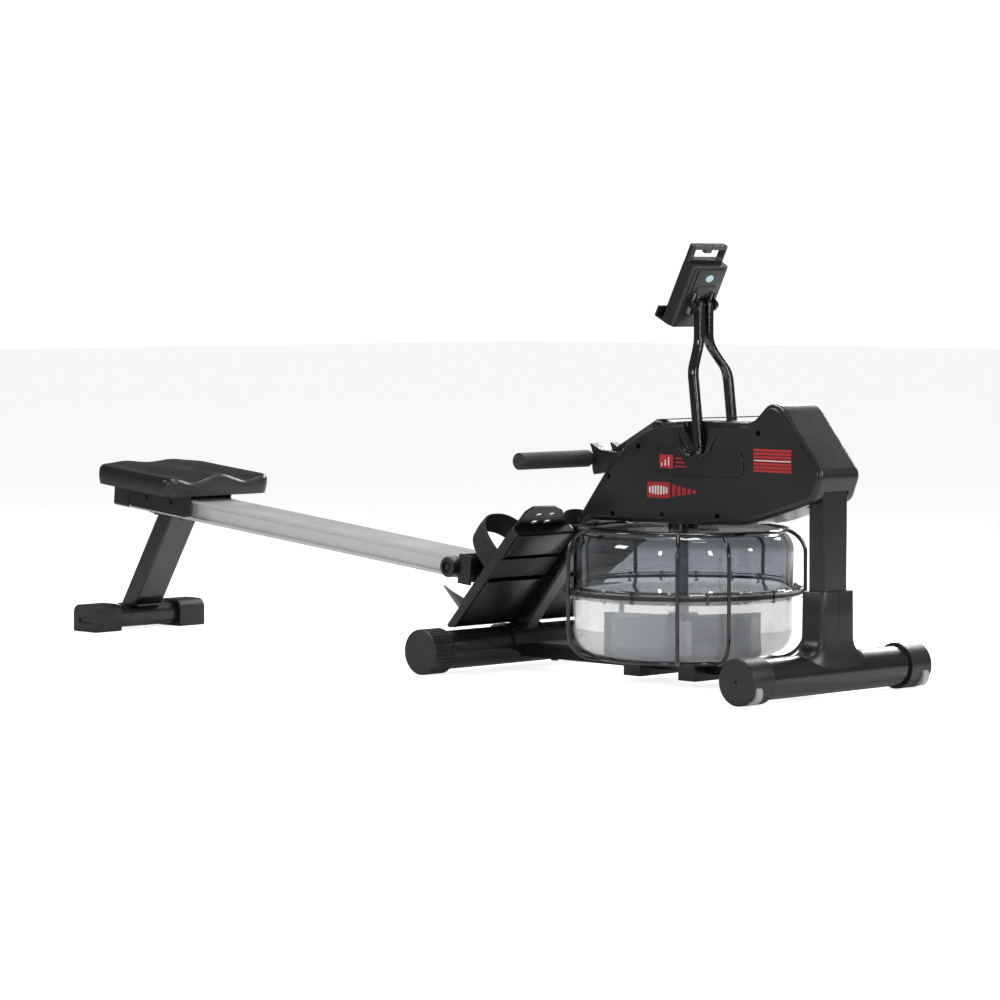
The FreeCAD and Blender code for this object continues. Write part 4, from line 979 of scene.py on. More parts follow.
@dataclass
class Seat:
    """Moulded seat with two hollows, a raised rim and a ridge between the thighs."""

    origin: Point = (-1.003, 0.0, 0.2795)
    fall: float = math.radians(5.478)
    start: float = -0.011
    length: float = 0.261
    half: float = 0.150
    base: float = 0.058
    corner: float = 0.027
    crown: float = 0.0425
    hollow: float = 0.013
    thigh: float = 0.011
    ridge: float = 0.006
    hips: float = 0.006
    rim_round: float = 0.008
    steps: int = 96

    def place(self) -> Matrix:
        """Matrix from the seat's own (along, across, up) to the row frame."""
        return Matrix.Translation(self.origin) @ Matrix.Rotation(self.fall, 4, "Y")

    def outline(self, s: float, t: float, inset: float = 0.0) -> tuple[float, float]:
        """Maps a point of the square -1..1 onto the seat's rounded rectangle.

        Args:
            s: place along the seat, -1 at the rear.
            t: place across the seat.
            inset: how much smaller the rectangle is on every side.

        Returns:
            The place along and across, from the seat's middle.
        """
        a = self.length / 2 - inset
        b = self.half - inset
        reach = max(abs(s), abs(t))
        if reach < 1e-9:
            return 0.0, 0.0
        s_edge, t_edge = s / reach, t / reach
        x, y = s_edge * a, t_edge * b
        corner = self.corner
        over_x, over_y = abs(x) - (a - corner), abs(y) - (b - corner)
        if over_x > 0 and over_y > 0:
            bend = math.hypot(over_x, over_y)
            share = corner / bend
            x = math.copysign(a - corner + over_x * share, x)
            y = math.copysign(b - corner + over_y * share, y)
        return x * reach, y * reach

    def height(self, s: float, t: float) -> float:
        """Height of the top above the underside at a place of the square.

        Args:
            s: place along the seat, -1 at the rear and 1 at the front.
            t: place across the seat, -1 to 1.

        Returns:
            The height in metres.
        """
        side = abs(t)
        hollow = math.exp(-((side - 0.46) / 0.27) ** 2) * math.exp(-((s + 0.05) / 0.55) ** 2)
        forward = smooth_step(s, 0.1, 1.0)
        backward = smooth_step(-s, 0.2, 1.0)
        thigh = math.exp(-((side - 0.52) / 0.24) ** 2) * forward
        ridge = math.exp(-(t / 0.2) ** 2) * smooth_step(s, -0.4, 0.8)
        hips = math.exp(-((side - 0.45) / 0.26) ** 2) * backward
        top = self.crown - self.hollow * hollow - self.thigh * thigh + self.ridge * ridge + self.hips * hips
        reach = max(abs(s), abs(t))
        gap = (1 - reach) * 0.13
        round_by = self.rim_round
        if gap < round_by:
            top -= round_by - math.sqrt(max(round_by ** 2 - (round_by - gap) ** 2, 0.0))
        return top

    def build(self) -> None:
        sheet = bmesh.new()
        count = self.steps
        middle = self.start + self.length / 2

        def grid(level: Callable[[float, float], float], inset: float) -> list[list[bmesh.types.BMVert]]:
            """Lays a grid of vertices over the seat.

            Args:
                level: gives the height of each place.
                inset: how much smaller the grid is on every side.

            Returns:
                The rows of vertices.
            """
            rows = []
            for i in range(count + 1):
                row = []
                for j in range(count + 1):
                    s, t = 2 * i / count - 1, 2 * j / count - 1
                    x, y = self.outline(s, t, inset)
                    row.append(sheet.verts.new((middle + x, y, self.base + level(s, t))))
                rows.append(row)
            return rows

        top = grid(self.height, 0.0)
        bottom = grid(lambda s, t: 0.0, 0.002)
        for rows in (top, bottom):
            for i in range(count):
                for j in range(count):
                    sheet.faces.new((rows[i][j], rows[i + 1][j], rows[i + 1][j + 1], rows[i][j + 1]))
        border = [(i, 0) for i in range(count)] + [(count, j) for j in range(count)]
        border += [(i, count) for i in range(count, 0, -1)] + [(0, j) for j in range(count, 0, -1)]
        loops = [[top[i][j] for i, j in border]]
        rows_down = 7
        for row in range(1, rows_down):
            share = row / rows_down
            swell = 0.0008 * math.sin(math.pi * share) - 0.002 * share ** 2
            loop = []
            for i, j in border:
                s, t = 2 * i / count - 1, 2 * j / count - 1
                x, y = self.outline(s, t, -swell)
                upper = self.height(s, t)
                loop.append(sheet.verts.new((middle + x, y, self.base + upper * (1 - share))))
            loops.append(loop)
        loops.append([bottom[i][j] for i, j in border])
        skin(sheet, loops, capped=False)
        bmesh.ops.transform(sheet, matrix=self.place(), verts=sheet.verts)
        moulded("seat_top", sheet, SEAT_SKIN, "seat_pad", ["seat_pad"], 55.0, "seat")


def smooth_step(value: float, low: float, high: float) -> float:
    """0 below low, 1 above high, and a smooth rise between them."""
    share = min(max((value - low) / (high - low), 0.0), 1.0)
    return share * share * (3 - 2 * share)


@dataclass
class Footrests:
    """Boards, foot beds, heel cups and the webbing straps over them."""

    low: Point = (0.177, 0.0, 0.092)
    lean: float = math.radians(47.1)
    strap: tuple[float, float] = (0.160, 0.212)
    inner: float = 0.049
    outer: float = 0.176
    high: float = 0.108
    thick: float = 0.0028
    panels: tuple[tuple[float, float], ...] = ((0.222, 0.281), (0.030, 0.148))
    panel_across: tuple[float, float] = (0.030, 0.184)
    band_across: tuple[float, float] = (0.024, 0.189)

    def place(self) -> Matrix:
        """Matrix from the board's own (along, across, off the board) to the row frame."""
        return Matrix.Translation(self.low) @ Matrix.Rotation(-self.lean, 4, "Y")

    def arch(self, share: float, lift: float) -> tuple[float, float]:
        """A point of the strap's arch.

        Args:
            share: 0 at the inner foot of the arch, 1 at the outer foot.
            lift: distance outwards from the arch's inner face.

        Returns:
            The place across, and the height off the board.
        """
        middle = (self.inner + self.outer) / 2
        half = (self.outer - self.inner) / 2
        turn = math.pi * (1 - share)
        bulge = abs(math.cos(turn)) ** 0.8
        y = middle + math.copysign(bulge, math.cos(turn)) * (half + lift)
        w = 0.0062 + (self.high - self.thick - 0.0062 + lift) * math.sin(turn) ** 0.86
        return y, w

    def band(self, sign: int) -> bmesh.types.BMesh:
        """The strap of one side as a closed band with rounded edges and a UV map in metres.

        Args:
            sign: 1 on the left, -1 on the right.

        Returns:
            The bmesh.
        """
        sheet = bmesh.new()
        layer = sheet.loops.layers.uv.new("UVMap")
        stations, across = 64, 10
        edge = self.thick / 2
        u0, u1 = self.strap
        section = []
        for step in range(across + 1):
            section.append((u0 + edge + (u1 - u0 - 2 * edge) * step / across, self.thick))
        section += [(u1 - 0.25 * edge, self.thick * 0.8), (u1, self.thick / 2),
                    (u1 - 0.25 * edge, self.thick * 0.2)]
        for step in range(across, -1, -1):
            section.append((u0 + edge + (u1 - u0 - 2 * edge) * step / across, 0.0))
        section += [(u0 + 0.25 * edge, self.thick * 0.2), (u0, self.thick / 2),
                    (u0 + 0.25 * edge, self.thick * 0.8)]
        rows = []
        for station in range(stations + 1):
            share = station / stations
            row = []
            for u, lift in section:
                crown = 0.0022 * math.sin(math.pi * (u - u0) / (u1 - u0)) * math.sin(math.pi * share)
                y, w = self.arch(share, lift + crown)
                row.append(sheet.verts.new((u, y * sign, w)))
            rows.append(row)
        length = 0.27
        for station, face in skin(sheet, rows):
            for loop in face.loops:
                along = (station if loop.vert in rows[station] else station + 1) / stations * length
                loop[layer].uv = (loop.vert.co.x, along)
        bmesh.ops.transform(sheet, matrix=self.place(), verts=sheet.verts)
        return sheet

    def stitches(self, sign: int) -> bpy.types.Object:
        """Two rows of stitching near the strap's edges.

        Args:
            sign: 1 on the left, -1 on the right.

        Returns:
            The object with both rows.
        """
        rows = []
        for index, u in enumerate((self.strap[0] + 0.004, self.strap[1] - 0.004)):
            points = []
            for step in range(1, 40):
                y, w = self.arch(step / 40, self.thick + 0.0005)
                points.append(tuple(self.place() @ Vector((u, y * sign, w))))
            base = curve_through("strap_stitches_%d_%d" % (sign, index), points, smooth=False)
            tree = geometry_tree("stitch_row", STITCH_INPUTS, fill_stitches)
            rows.append(grown(base, tree, BUTTON_RUBBER, Spacing=0.0042, Thread=0.0007, Stitch=0.0027))
        return joined(rows)

    def underside(self) -> None:
        """Two swelled panels under each board, with the strap's band in the channel between them."""
        panels, bands = bmesh.new(), bmesh.new()
        for sign in (-1, 1):
            near, far = sorted(sign * y for y in self.panel_across)
            for start, end in self.panels:
                box_into(panels, (start, near, -0.0215), (end, far, -0.0175), self.place(), 0.0018)
            near, far = sorted(sign * y for y in self.band_across)
            box_into(bands, (self.strap[0], near, -0.0202), (self.strap[1], far, -0.0178), self.place(),
                     0.0006)
        moulded("board_panels", panels, BOARD_MOULD, "footboards")
        moulded("band_under", bands, DARK_RUBBER, "foot_straps")

    def build(self) -> None:
        """Dresses the boards and makes the straps."""
        dress((BOARD_MOULD, 0.0012, "footboards"))
        self.underside()
        dress((PEDAL_MOULD, 0.0008, "pedal_left pedal_right heel_cup_left heel_cup_right"))
        for name, sign, stands_for in (("left", 1, ["foot_straps"]), ("right", -1, [])):
            moulded("foot_strap_" + name, self.band(sign), WEBBING, "foot_straps", stands_for, 50.0)
            thread = self.stitches(sign)
            thread.name = "strap_stitches_" + name
            settle(thread, BUTTON_RUBBER, "frame", SLOT_OF["foot_straps"])


def joined(pieces: Sequence[bpy.types.Object]) -> bpy.types.Object:
    """Joins mesh objects into the first, keeping their materials.

    Args:
        pieces: the objects, all but the first of which are removed.

    Returns:
        The first object, with all the meshes.
    """
    sheet = bmesh.new()
    for piece in pieces:
        sheet.from_mesh(piece.data)
    first = pieces[0]
    sheet.to_mesh(first.data)
    sheet.free()
    for piece in pieces[1:]:
        bpy.data.objects.remove(piece)
    return first


@dataclass
class Tank:
    """Clear two-part tank, its water, its paddle and the wire cage round it."""

    x: float = 0.656
    radius: float = 0.217
    wall: float = 0.004
    low: float = 0.057
    top: float = 0.306
    low_round: float = 0.048
    top_round: float = 0.044
    flange: float = 0.233
    flange_z: float = 0.182
    flange_thick: float = 0.007
    seal: float = 0.003
    neck: float = 0.0302
    water: float = 0.168
    foot: tuple[float, float] = (0.120, 0.135)
    beam_top: float = 0.048
    hoop: float = 0.0045
    clips: int = 10

    def upper(self) -> bpy.types.Mesh:
        """Domed upper half with its flange and the neck for the shaft.

        Returns:
            The mesh.
        """
        inner = self.radius - self.wall
        flat = self.radius - self.top_round
        base = self.flange_z + self.seal / 2
        rim = base + self.flange_thick
        points = [(inner, base), (self.flange - 0.001, base), (self.flange, base + 0.001),
                  (self.flange, rim - 0.001), (self.flange - 0.001, rim), (self.radius + 0.003, rim)]
        points += arc(self.radius + 0.003, rim + 0.003, 0.003, -90, -180, 4)
        points += arc(flat, self.top - self.top_round, self.top_round, 0, 90, 18)
        points += [(self.neck + 0.004, self.top), (self.neck, self.top - 0.001),
                   (self.neck, self.top - self.wall)]
        points += list(reversed(arc(flat, self.top - self.top_round, self.top_round - self.wall, 0, 90,
                                    18)))
        return revolved("tank_dome", points, (self.x, 0.0, 0.0))

    def lower(self) -> bpy.types.Mesh:
        """Bowl of the tank with its flange and the ring that it stands on.

        Returns:
            The mesh.
        """
        inner = self.radius - self.wall
        flat = self.radius - self.low_round
        base = self.flange_z - self.seal / 2
        rim = base - self.flange_thick
        points = [(inner, base)]
        points += list(reversed(arc(flat, self.low + self.low_round, self.low_round - self.wall, -90, 0,
                                    18)))
        points += [(0.0, self.low + self.wall), (0.0, self.low)]
        points += [(self.foot[0], self.low), (self.foot[0], self.beam_top), (self.foot[1], self.beam_top),
                   (self.foot[1], self.low)]
        points += arc(flat, self.low + self.low_round, self.low_round, -90, 0, 18)
        points += arc(self.radius + 0.003, rim - 0.003, 0.003, 180, 90, 4)
        points += [(self.flange - 0.001, rim), (self.flange, rim + 0.001), (self.flange, base - 0.001),
                   (self.flange - 0.001, base)]
        return revolved("tank_bowl", points, (self.x, 0.0, 0.0))

    def pool(self) -> bpy.types.Mesh:
        """Water up to its level, pressed slightly into the tank's wall, with a curled edge at the top.

        Returns:
            The mesh.
        """
        lap = 0.0012
        inner = self.radius - self.wall + lap
        flat = self.radius - self.low_round
        round_by = self.low_round - self.wall + lap
        points = [(0.0, self.low + self.wall - lap)]
        points += arc(flat, self.low + self.low_round, round_by, -90, 0, 18)
        points += [(inner, self.water + 0.003), (inner - 0.002, self.water + 0.0012),
                   (inner - 0.006, self.water)]
        points += [(inner * share, self.water) for share in (0.8, 0.6, 0.4, 0.2)]
        points += [(0.0, self.water)]
        return revolved("tank_water", points, (self.x, 0.0, 0.0))

    def clip(self) -> bpy.types.Object:
        """One bent plate that grips the flange, made to be set round the tank.

        Returns:
            The clip, before it is copied.
        """
        sheet = bmesh.new()
        box_into(sheet, (-0.003, -0.003, -0.0115), (0.004, 0.003, -0.0095), round_by=0.0004)
        box_into(sheet, (-0.003, -0.003, 0.0095), (0.004, 0.003, 0.0115), round_by=0.0004)
        box_into(sheet, (0.0026, -0.003, -0.0115), (0.0046, 0.003, 0.0115), round_by=0.0004)
        box_into(sheet, (0.0046, -0.002, -0.002), (0.0085, 0.002, 0.002), round_by=0.0004)
        return new_piece("flange_clips", mesh_from("flange_clip", sheet))

    def build(self) -> None:
        """Makes the tank's pieces and dresses the rest."""
        for name, mesh, finish, node in (("tank_dome", self.upper(), TANK_SMOKE, "tank_upper"),
                                         ("tank_bowl", self.lower(), TANK_CLEAR, "tank_lower"),
                                         ("tank_water", self.pool(), WATER_CLEAR, "water")):
            settle(new_piece(name, mesh), finish, "frame", SLOT_OF[node], [node])
        dress((DARK_RUBBER, 0.0, "tank_seal"))
        refined("tank_cage", FORK_PAINT, angle=60.0)
        dress((ZINC, 0.0003, "flange_bolts"), (CAP_GRAIN, 0.0006, "fill_plug"),
              (STAINLESS, 0.0, "impeller"), (COATED_TUBE, 0.0, "shaft_bearing"))
        hoop = arc(self.flange + 0.0005, self.flange_z, self.hoop, 0, 345, 15)
        ring = new_piece("flange_hoop", revolved("flange_hoop", hoop, (self.x, 0.0, 0.0), 160))
        settle(ring, DARK_RUBBER, "frame", SLOT_OF["tank_seal"])
        tree = geometry_tree("round_the_tank", RING_INPUTS, fill_ring)
        clips = grown(self.clip(), tree, DARK_BOLT, Count=self.clips, Radius=self.flange + 0.0015,
                      Start=math.radians(-72.0))
        clips.data.transform(Matrix.Translation((self.x, 0.0, self.flange_z)))
        settle(clips, DARK_BOLT, "frame", SLOT_OF["flange_bolts"])


@dataclass
class Housing:
    """Two moulded shells, their raised panels, printed marks and screws."""

    face: float = 0.0605
    panel_face: float = 0.0630
    ink: float = 0.0003
    stripes: tuple[float, float, float, float] = (0.892, 0.992, 0.424, 0.474)
    bars: int = 7
    upper_block: tuple[float, float, float, float] = (0.650, 0.686, 0.425, 0.452)
    lower_block: tuple[float, float, float, float] = (0.615, 0.676, 0.366, 0.397)

    def plate(self, sheet: bmesh.types.BMesh, x: tuple[float, float], z: tuple[float, float], face: float,
              sign: int, lift: float = 1.0) -> None:
        """Adds one printed rectangle on a side of the housing.

        Args:
            sheet: the bmesh.
            x: its ends along the housing.
            z: its ends in height.
            face: how far the printed face is from the middle plane.
            sign: +1 on the left, -1 on the right.
            lift: how many layers of ink it stands on.
        """
        y0, y1 = sorted((sign * (face - 0.0004), sign * (face + self.ink * lift)))
        box_into(sheet, (x[0], y0, z[0]), (x[1], y1, z[1]))

    def printed(self, name: str, finish: Finish, draw: Callable[[bmesh.types.BMesh, int], None]) -> None:
        """Makes one printed piece for both sides of the housing.

        Args:
            name: the piece's name.
            finish: its ink.
            draw: adds one side to a bmesh, given 1 for the left or -1.
        """
        sheet = bmesh.new()
        for sign in (-1, 1):
            draw(sheet, sign)
        moulded(name, sheet, finish, "side_panels")

    def draw_ground(self, sheet: bmesh.types.BMesh, sign: int) -> None:
        """Dark ground of the striped panel."""
        x0, x1, z0, z1 = self.stripes
        self.plate(sheet, (x0, x1), (z0, z1), self.face, sign)

    def draw_bars(self, sheet: bmesh.types.BMesh, sign: int) -> None:
        """Red bars of the striped panel, all of one size, and the red blocks and small marks beside it.

        Args:
            sheet: the bmesh.
            sign: 1 on the left, -1 on the right.
        """
        x0, x1, z0, z1 = self.stripes
        pitch = (z1 - z0 - 0.004) / self.bars
        for index in range(self.bars):
            low = z0 + 0.002 + pitch * index
            self.plate(sheet, (x0 + 0.002, x1 - 0.002), (low, low + pitch * 0.72), self.face, sign, 2)
        for block, face in ((self.upper_block, self.panel_face), (self.lower_block, self.face)):
            self.plate(sheet, block[:2], block[2:], face, sign)
        for index in range(5):
            left = 0.682 + 0.0134 * index
            self.plate(sheet, (left, left + 0.0085), (0.370 + 0.002 * index, 0.393 - 0.002 * index),
                       self.face, sign)
        for index in range(3):
            low = 0.428 + 0.008 * index
            self.plate(sheet, (0.692, 0.722 - 0.006 * index), (low, low + 0.0028), self.panel_face, sign)

    def draw_lines(self, sheet: bmesh.types.BMesh, sign: int) -> None:
        """White line of the striped panel and the light marks in the red blocks.

        Args:
            sheet: the bmesh.
            sign: 1 on the left, -1 on the right.
        """
        x0, x1, z0, z1 = self.stripes
        middle = (z0 + z1) / 2 - 0.002
        self.plate(sheet, (x0 + 0.004, x1 - 0.004), (middle, middle + 0.0016), self.face, sign, 3)
        for index in range(3):
            left = 0.655 + 0.009 * index
            self.plate(sheet, (left, left + 0.0026), (0.430, 0.436 + 0.0055 * index), self.panel_face,
                       sign, 2)
        for index in range(7):
            left = 0.6205 + 0.0074 * index
            rise = 0.004 * math.sin(math.pi * (index + 0.5) / 7)
            self.plate(sheet, (left, left + 0.0042), (0.3765 - rise, 0.3865 + rise), self.face, sign, 2)

    def build(self) -> None:
        """Dresses the shells and prints their marks."""
        for side in ("left", "right"):
            refined("housing_" + side, HOUSING_GRAIN, 0.0, 40.0)
        dress((PANEL_GRAIN, 0.0012, "side_panels"), (BLACK_SCREW, 0.0, "housing_screws"),
              (CAP_GRAIN, 0.0012, "handle_cradle"))
        self.printed("panel_ground", PRINT_DARK, self.draw_ground)
        self.printed("panel_red", PRINT_RED, self.draw_bars)
        self.printed("panel_lines", PRINT_WHITE, self.draw_lines)


@dataclass
class Drive:
    """Strap, pulleys, drum and recoil cord, with the handle that pulls them."""

    guide: tuple[float, float, float] = (0.600, 0.505, 0.011)
    clip: tuple[float, float] = (0.454, 0.441)
    half: float = 0.0125
    gap: float = 0.0003
    thick: float = 0.002
    steps: int = 48

    def strap(self) -> None:
        """Pull strap from the handle's clip to the guide roller."""
        run_x = self.guide[0] - self.clip[0]
        run_z = self.guide[1] - self.clip[1]
        rise = math.atan2(run_z, run_x) + math.asin(self.guide[2] / math.hypot(run_x, run_z))
        along = Vector((math.cos(rise), 0.0, math.sin(rise)))
        off = Vector((-along.z, 0.0, along.x))
        start = Vector((self.clip[0], 0.0, self.clip[1])) + off * (self.gap + self.thick / 2)
        end = Vector((self.guide[0], 0.0, self.guide[1])) + off * (self.guide[2] + self.gap + self.thick / 2)
        start = start + (end - start).normalized() * 0.004
        sheet = bmesh.new()
        layer = sheet.loops.layers.uv.new("UVMap")
        rows = []
        for step in range(self.steps + 1):
            middle = start.lerp(end, step / self.steps)
            row = []
            for y, lift in ((-1, -1), (1, -1), (1, 1), (-1, 1)):
                side = Vector((0, y * self.half, 0))
                row.append(sheet.verts.new(middle + side + off * (lift * self.thick / 2)))
            rows.append(row)
        for _, face in skin(sheet, rows):
            for loop in face.loops:
                loop[layer].uv = (loop.vert.co.y, (loop.vert.co - start).dot(along))
        piece = new_piece("tow_strap", mesh_from("tow_strap", sheet))
        piece.data.materials.append(TOW_STRAP.material())
        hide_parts("pull_strap")
        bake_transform(piece)

    def build(self) -> None:
        """Dresses the drive and makes the strap."""
        self.strap()
        dress((CORD_JACKET, 0.0, "inner_strap recoil_cord"), (BRACKET_GREY, 0.0005, "guide_roller"),
              (BRACKET_GREY, 0.0, "front_pulley strap_drum"), (COATED_TUBE, 0.0, "handle_bar"),
              (GRIP_FOAM, 0.0, "handle_grips"), (FORK_PAINT, 0.0006, "strap_clip"))


@dataclass
class ConsoleStand:
    """Bent fork legs that carry the console, and the moulded horns beside their feet."""

    side: float = 0.0606
    around: int = 20
    leg: tuple[Point, ...] = (
        (0.7450, 0.0500, 0.4600), (0.7285, 0.0500, 0.5930), (0.7266, 0.0496, 0.6040),
        (0.7250, 0.0480, 0.6130),
        (0.7226, 0.0445, 0.6220), (0.7195, 0.0385, 0.6310), (0.7122, 0.0225, 0.6550),
        (0.7102, 0.0178, 0.6640),
        (0.7090, 0.0147, 0.6725), (0.7083, 0.0134, 0.6800), (0.7080, 0.0130, 0.6900),
        (0.7080, 0.0130, 0.7440))
    half: tuple[float, float, float] = (0.0099, 0.0074, 0.0042)
    fin: tuple[tuple[float, float, float], ...] = (
        (0.7320, 0.4510, 0.0050), (0.7200, 0.4540, 0.0056), (0.7100, 0.4620, 0.0058),
        (0.7030, 0.4730, 0.0054), (0.6985, 0.4850, 0.0042), (0.6960, 0.4950, 0.0020))
    arm: tuple[tuple[float, float, float], ...] = (
        (0.7580, 0.4510, 0.0040), (0.7690, 0.4560, 0.0044), (0.7780, 0.4680, 0.0044),
        (0.7870, 0.4820, 0.0042), (0.7980, 0.4950, 0.0034), (0.8090, 0.5010, 0.0016))

    def horn(self, sheet: bmesh.types.BMesh, path: Sequence[tuple[float, float, float]], sign: int) -> None:
        """Adds one curved horn on a side of the housing.

        Args:
            sheet: the bmesh.
            path: along, height and radius of each station.
            sign: +1 on the left, -1 on the right.
        """
        rings = []
        for index, (x, z, radius) in enumerate(path):
            before, after = path[max(index - 1, 0)], path[min(index + 1, len(path) - 1)]
            heading = Vector((after[0] - before[0], 0.0, after[1] - before[1])).normalized()
            across = Vector((-heading.z, 0.0, heading.x))
            ring = []
            for step in range(self.around):
                turn = 2 * math.pi * step / self.around
                lift = Vector((0.0, sign * radius * math.sin(turn), 0.0))
                middle = Vector((x, sign * self.side, z))
                ring.append(sheet.verts.new(middle + across * radius * math.cos(turn) + lift))
            rings.append(ring)
        skin(sheet, rings)

    def legs(self, sheet: bmesh.types.BMesh, sign: int) -> None:
        """Adds one bent leg with rounded edges and a rounded head.

        Args:
            sheet: the bmesh.
            sign: +1 on the left, -1 on the right.
        """
        along, across, corner = self.half
        ends = [(*station, along) for station in self.leg]
        x, y, z = self.leg[-1]
        ends += [(x, y, z + along * math.sin(math.radians(turn)), along * math.cos(math.radians(turn)))
                 for turn in (20, 38, 54, 68, 80, 88)]
        rings = []
        for x, y, z, reach in ends:
            round_by = min(corner, reach * 0.98)
            ring = []
            for start, (side, end) in zip((0, 90, 180, 270), ((1, 1), (-1, 1), (-1, -1), (1, -1))):
                for step in range(7):
                    turn = math.radians(start + 15 * step)
                    out = x + side * (reach - round_by) + round_by * math.cos(turn)
                    off = sign * y + end * (across - corner) + corner * math.sin(turn)
                    ring.append(sheet.verts.new((out, off, z)))
            rings.append(ring)
        skin(sheet, rings)

    def build(self) -> None:
        """Bends the legs and moulds the horns."""
        legs, horns = bmesh.new(), bmesh.new()
        for sign in (-1, 1):
            self.legs(legs, sign)
            self.horn(horns, self.fin, sign)
            self.horn(horns, self.arm, sign)
        moulded("console_legs", legs, FORK_PAINT, "console_fork", ["console_fork"], 40.0)
        moulded("pocket_horns", horns, PANEL_GRAIN, "side_panels", angle=60.0)


@dataclass
class Console:
    """Tilting display with its buttons, back cover and pivot."""

    origin: Point = (0.640, 0.0, 0.716)
    lean: float = math.radians(27.0)
    thick: float = 0.034
    screen: tuple[float, float] = (0.034, 0.122)
    pivot: Point = (0.708, 0.0, 0.744)
    figures: tuple[tuple[float, int], ...] = ((0.098, 3), (0.074, 4), (0.050, 2))
    figure_tall: float = 0.0105
    figure_gap: float = 0.0042
    bar: float = 0.0013

    def place(self) -> Matrix:
        """Matrix from the console's own (up the case, across, out of the screen) to the row frame."""
        return Matrix.Translation(self.origin) @ Matrix.Rotation(-(math.pi / 2 - self.lean), 4, "Y")

    def add(self, name: str, finish: Surface, boxes: Sequence[tuple[Point, Point, float]],
            like: str) -> None:
        """Makes one trim piece of a few rounded boxes in the console's own frame.

        Args:
            name: the piece's name.
            finish: its finish.
            boxes: the lowest corner, highest corner and edge radius of each box.
            like: a CAD node whose material slot is looked up and passed on, but not used.
        """
        sheet = bmesh.new()
        for low, high, round_by in boxes:
            box_into(sheet, low, high, self.place(), round_by)
        moulded(name, sheet, finish, like, body="console")

    def digits(self) -> None:
        """Seven-segment figures on the display: a clock, a distance and a stroke rate, all at zero."""
        sheet = bmesh.new()
        wide = self.figure_tall * 0.52
        for base, count in self.figures:
            for place in range(count):
                self.zero(sheet, base, (place - (count - 1) / 2) * (wide + self.figure_gap), wide)
        moulded("display_figures", sheet, PRINT_DARK, "console_screen", body="console")

    def zero(self, sheet: bmesh.types.BMesh, base: float, centre: float, wide: float) -> None:
        """Adds the six segments of one zero.

        Args:
            sheet: the bmesh.
            base: height of its foot up the case.
            centre: its middle across the case.
            wide: its width.
        """
        bar, tall = self.bar, self.figure_tall
        left, right = centre - wide / 2, centre + wide / 2
        half = base + tall / 2
        for u0, u1, y0, y1 in ((base + tall - bar, base + tall, left, right),
                               (half, base + tall, right - bar, right),
                               (base, half, right - bar, right), (base, base + bar, left, right),
                               (base, half, left, left + bar), (half, base + tall, left, left + bar)):
            box_into(sheet, (u0, y0, -0.0002), (u1, y1, 0.0003), self.place())

    def build(self) -> None:
        """Dresses the console and adds its trim."""
        dress((CONSOLE_GLOSS, 0.0007, "console_case"), (DISPLAY, 0.0, "console_screen"),
              (DARK_BOLT, 0.0008, "console_bracket"),
              (BUTTON_RUBBER, 0.0006, "button_reset button_set button_mode"))
        back = -self.thick
        self.add("console_back", CONSOLE_MATT,
                 [((0.004, -0.044, back - 0.002), (0.128, 0.044, back + 0.001), 0.0008),
                  ((0.060, -0.036, back - 0.0045), (0.126, 0.036, back - 0.001), 0.0010)], "console_case")
        self.add("battery_cover", CONSOLE_MATT,
                 [((0.064, -0.026, back - 0.0062), (0.092, 0.026, back - 0.003), 0.0008)], "console_case")
        low, high = self.screen
        self.add("console_bezel", CONSOLE_MATT,
                 [((u0, y0, -0.0004), (u1, y1, 0.0010), 0.0003)
                  for u0, u1, y0, y1 in ((low - 0.004, low, -0.046, 0.046),
                                         (high, high + 0.004, -0.046, 0.046),
                                         (low, high, -0.046, -0.042), (low, high, 0.042, 0.046))],
                 "console_case")
        self.digits()
        hub = self.place().inverted() @ Vector(self.pivot)
        low, high = hub.x - 0.024, hub.x + 0.022
        self.add("bracket_shell", BRACKET_GREY,
                 [((low, -0.0276, hub.z + 0.004), (high, -0.0207, back + 0.001), 0.002),
                  ((low, 0.0207, hub.z + 0.004), (high, 0.0276, back + 0.001), 0.002)], "console_bracket")
        self.label(back)

    def label(self, back: float) -> None:
        """Adds the small oval label on the back cover.

        Args:
            back: height of the case's back in the console's own frame.
        """
        sheet = bmesh.new()
        made = bmesh.ops.create_circle(sheet, cap_ends=True, segments=40, radius=1.0)["verts"]
        bmesh.ops.transform(sheet, matrix=Matrix.Diagonal((0.0075, 0.0105, 1.0, 1.0)), verts=made)
        lifted = bmesh.ops.extrude_face_region(sheet, geom=list(sheet.faces))["geom"]
        raised = [item for item in lifted if isinstance(item, bmesh.types.BMVert)]
        bmesh.ops.translate(sheet, vec=(0, 0, -0.0004), verts=raised)
        shift = Matrix.Translation((0.108, 0.0, back - 0.0045))
        bmesh.ops.transform(sheet, matrix=self.place() @ shift, verts=sheet.verts)
        moulded("back_label", sheet, STICKER, "console_case", body="console")


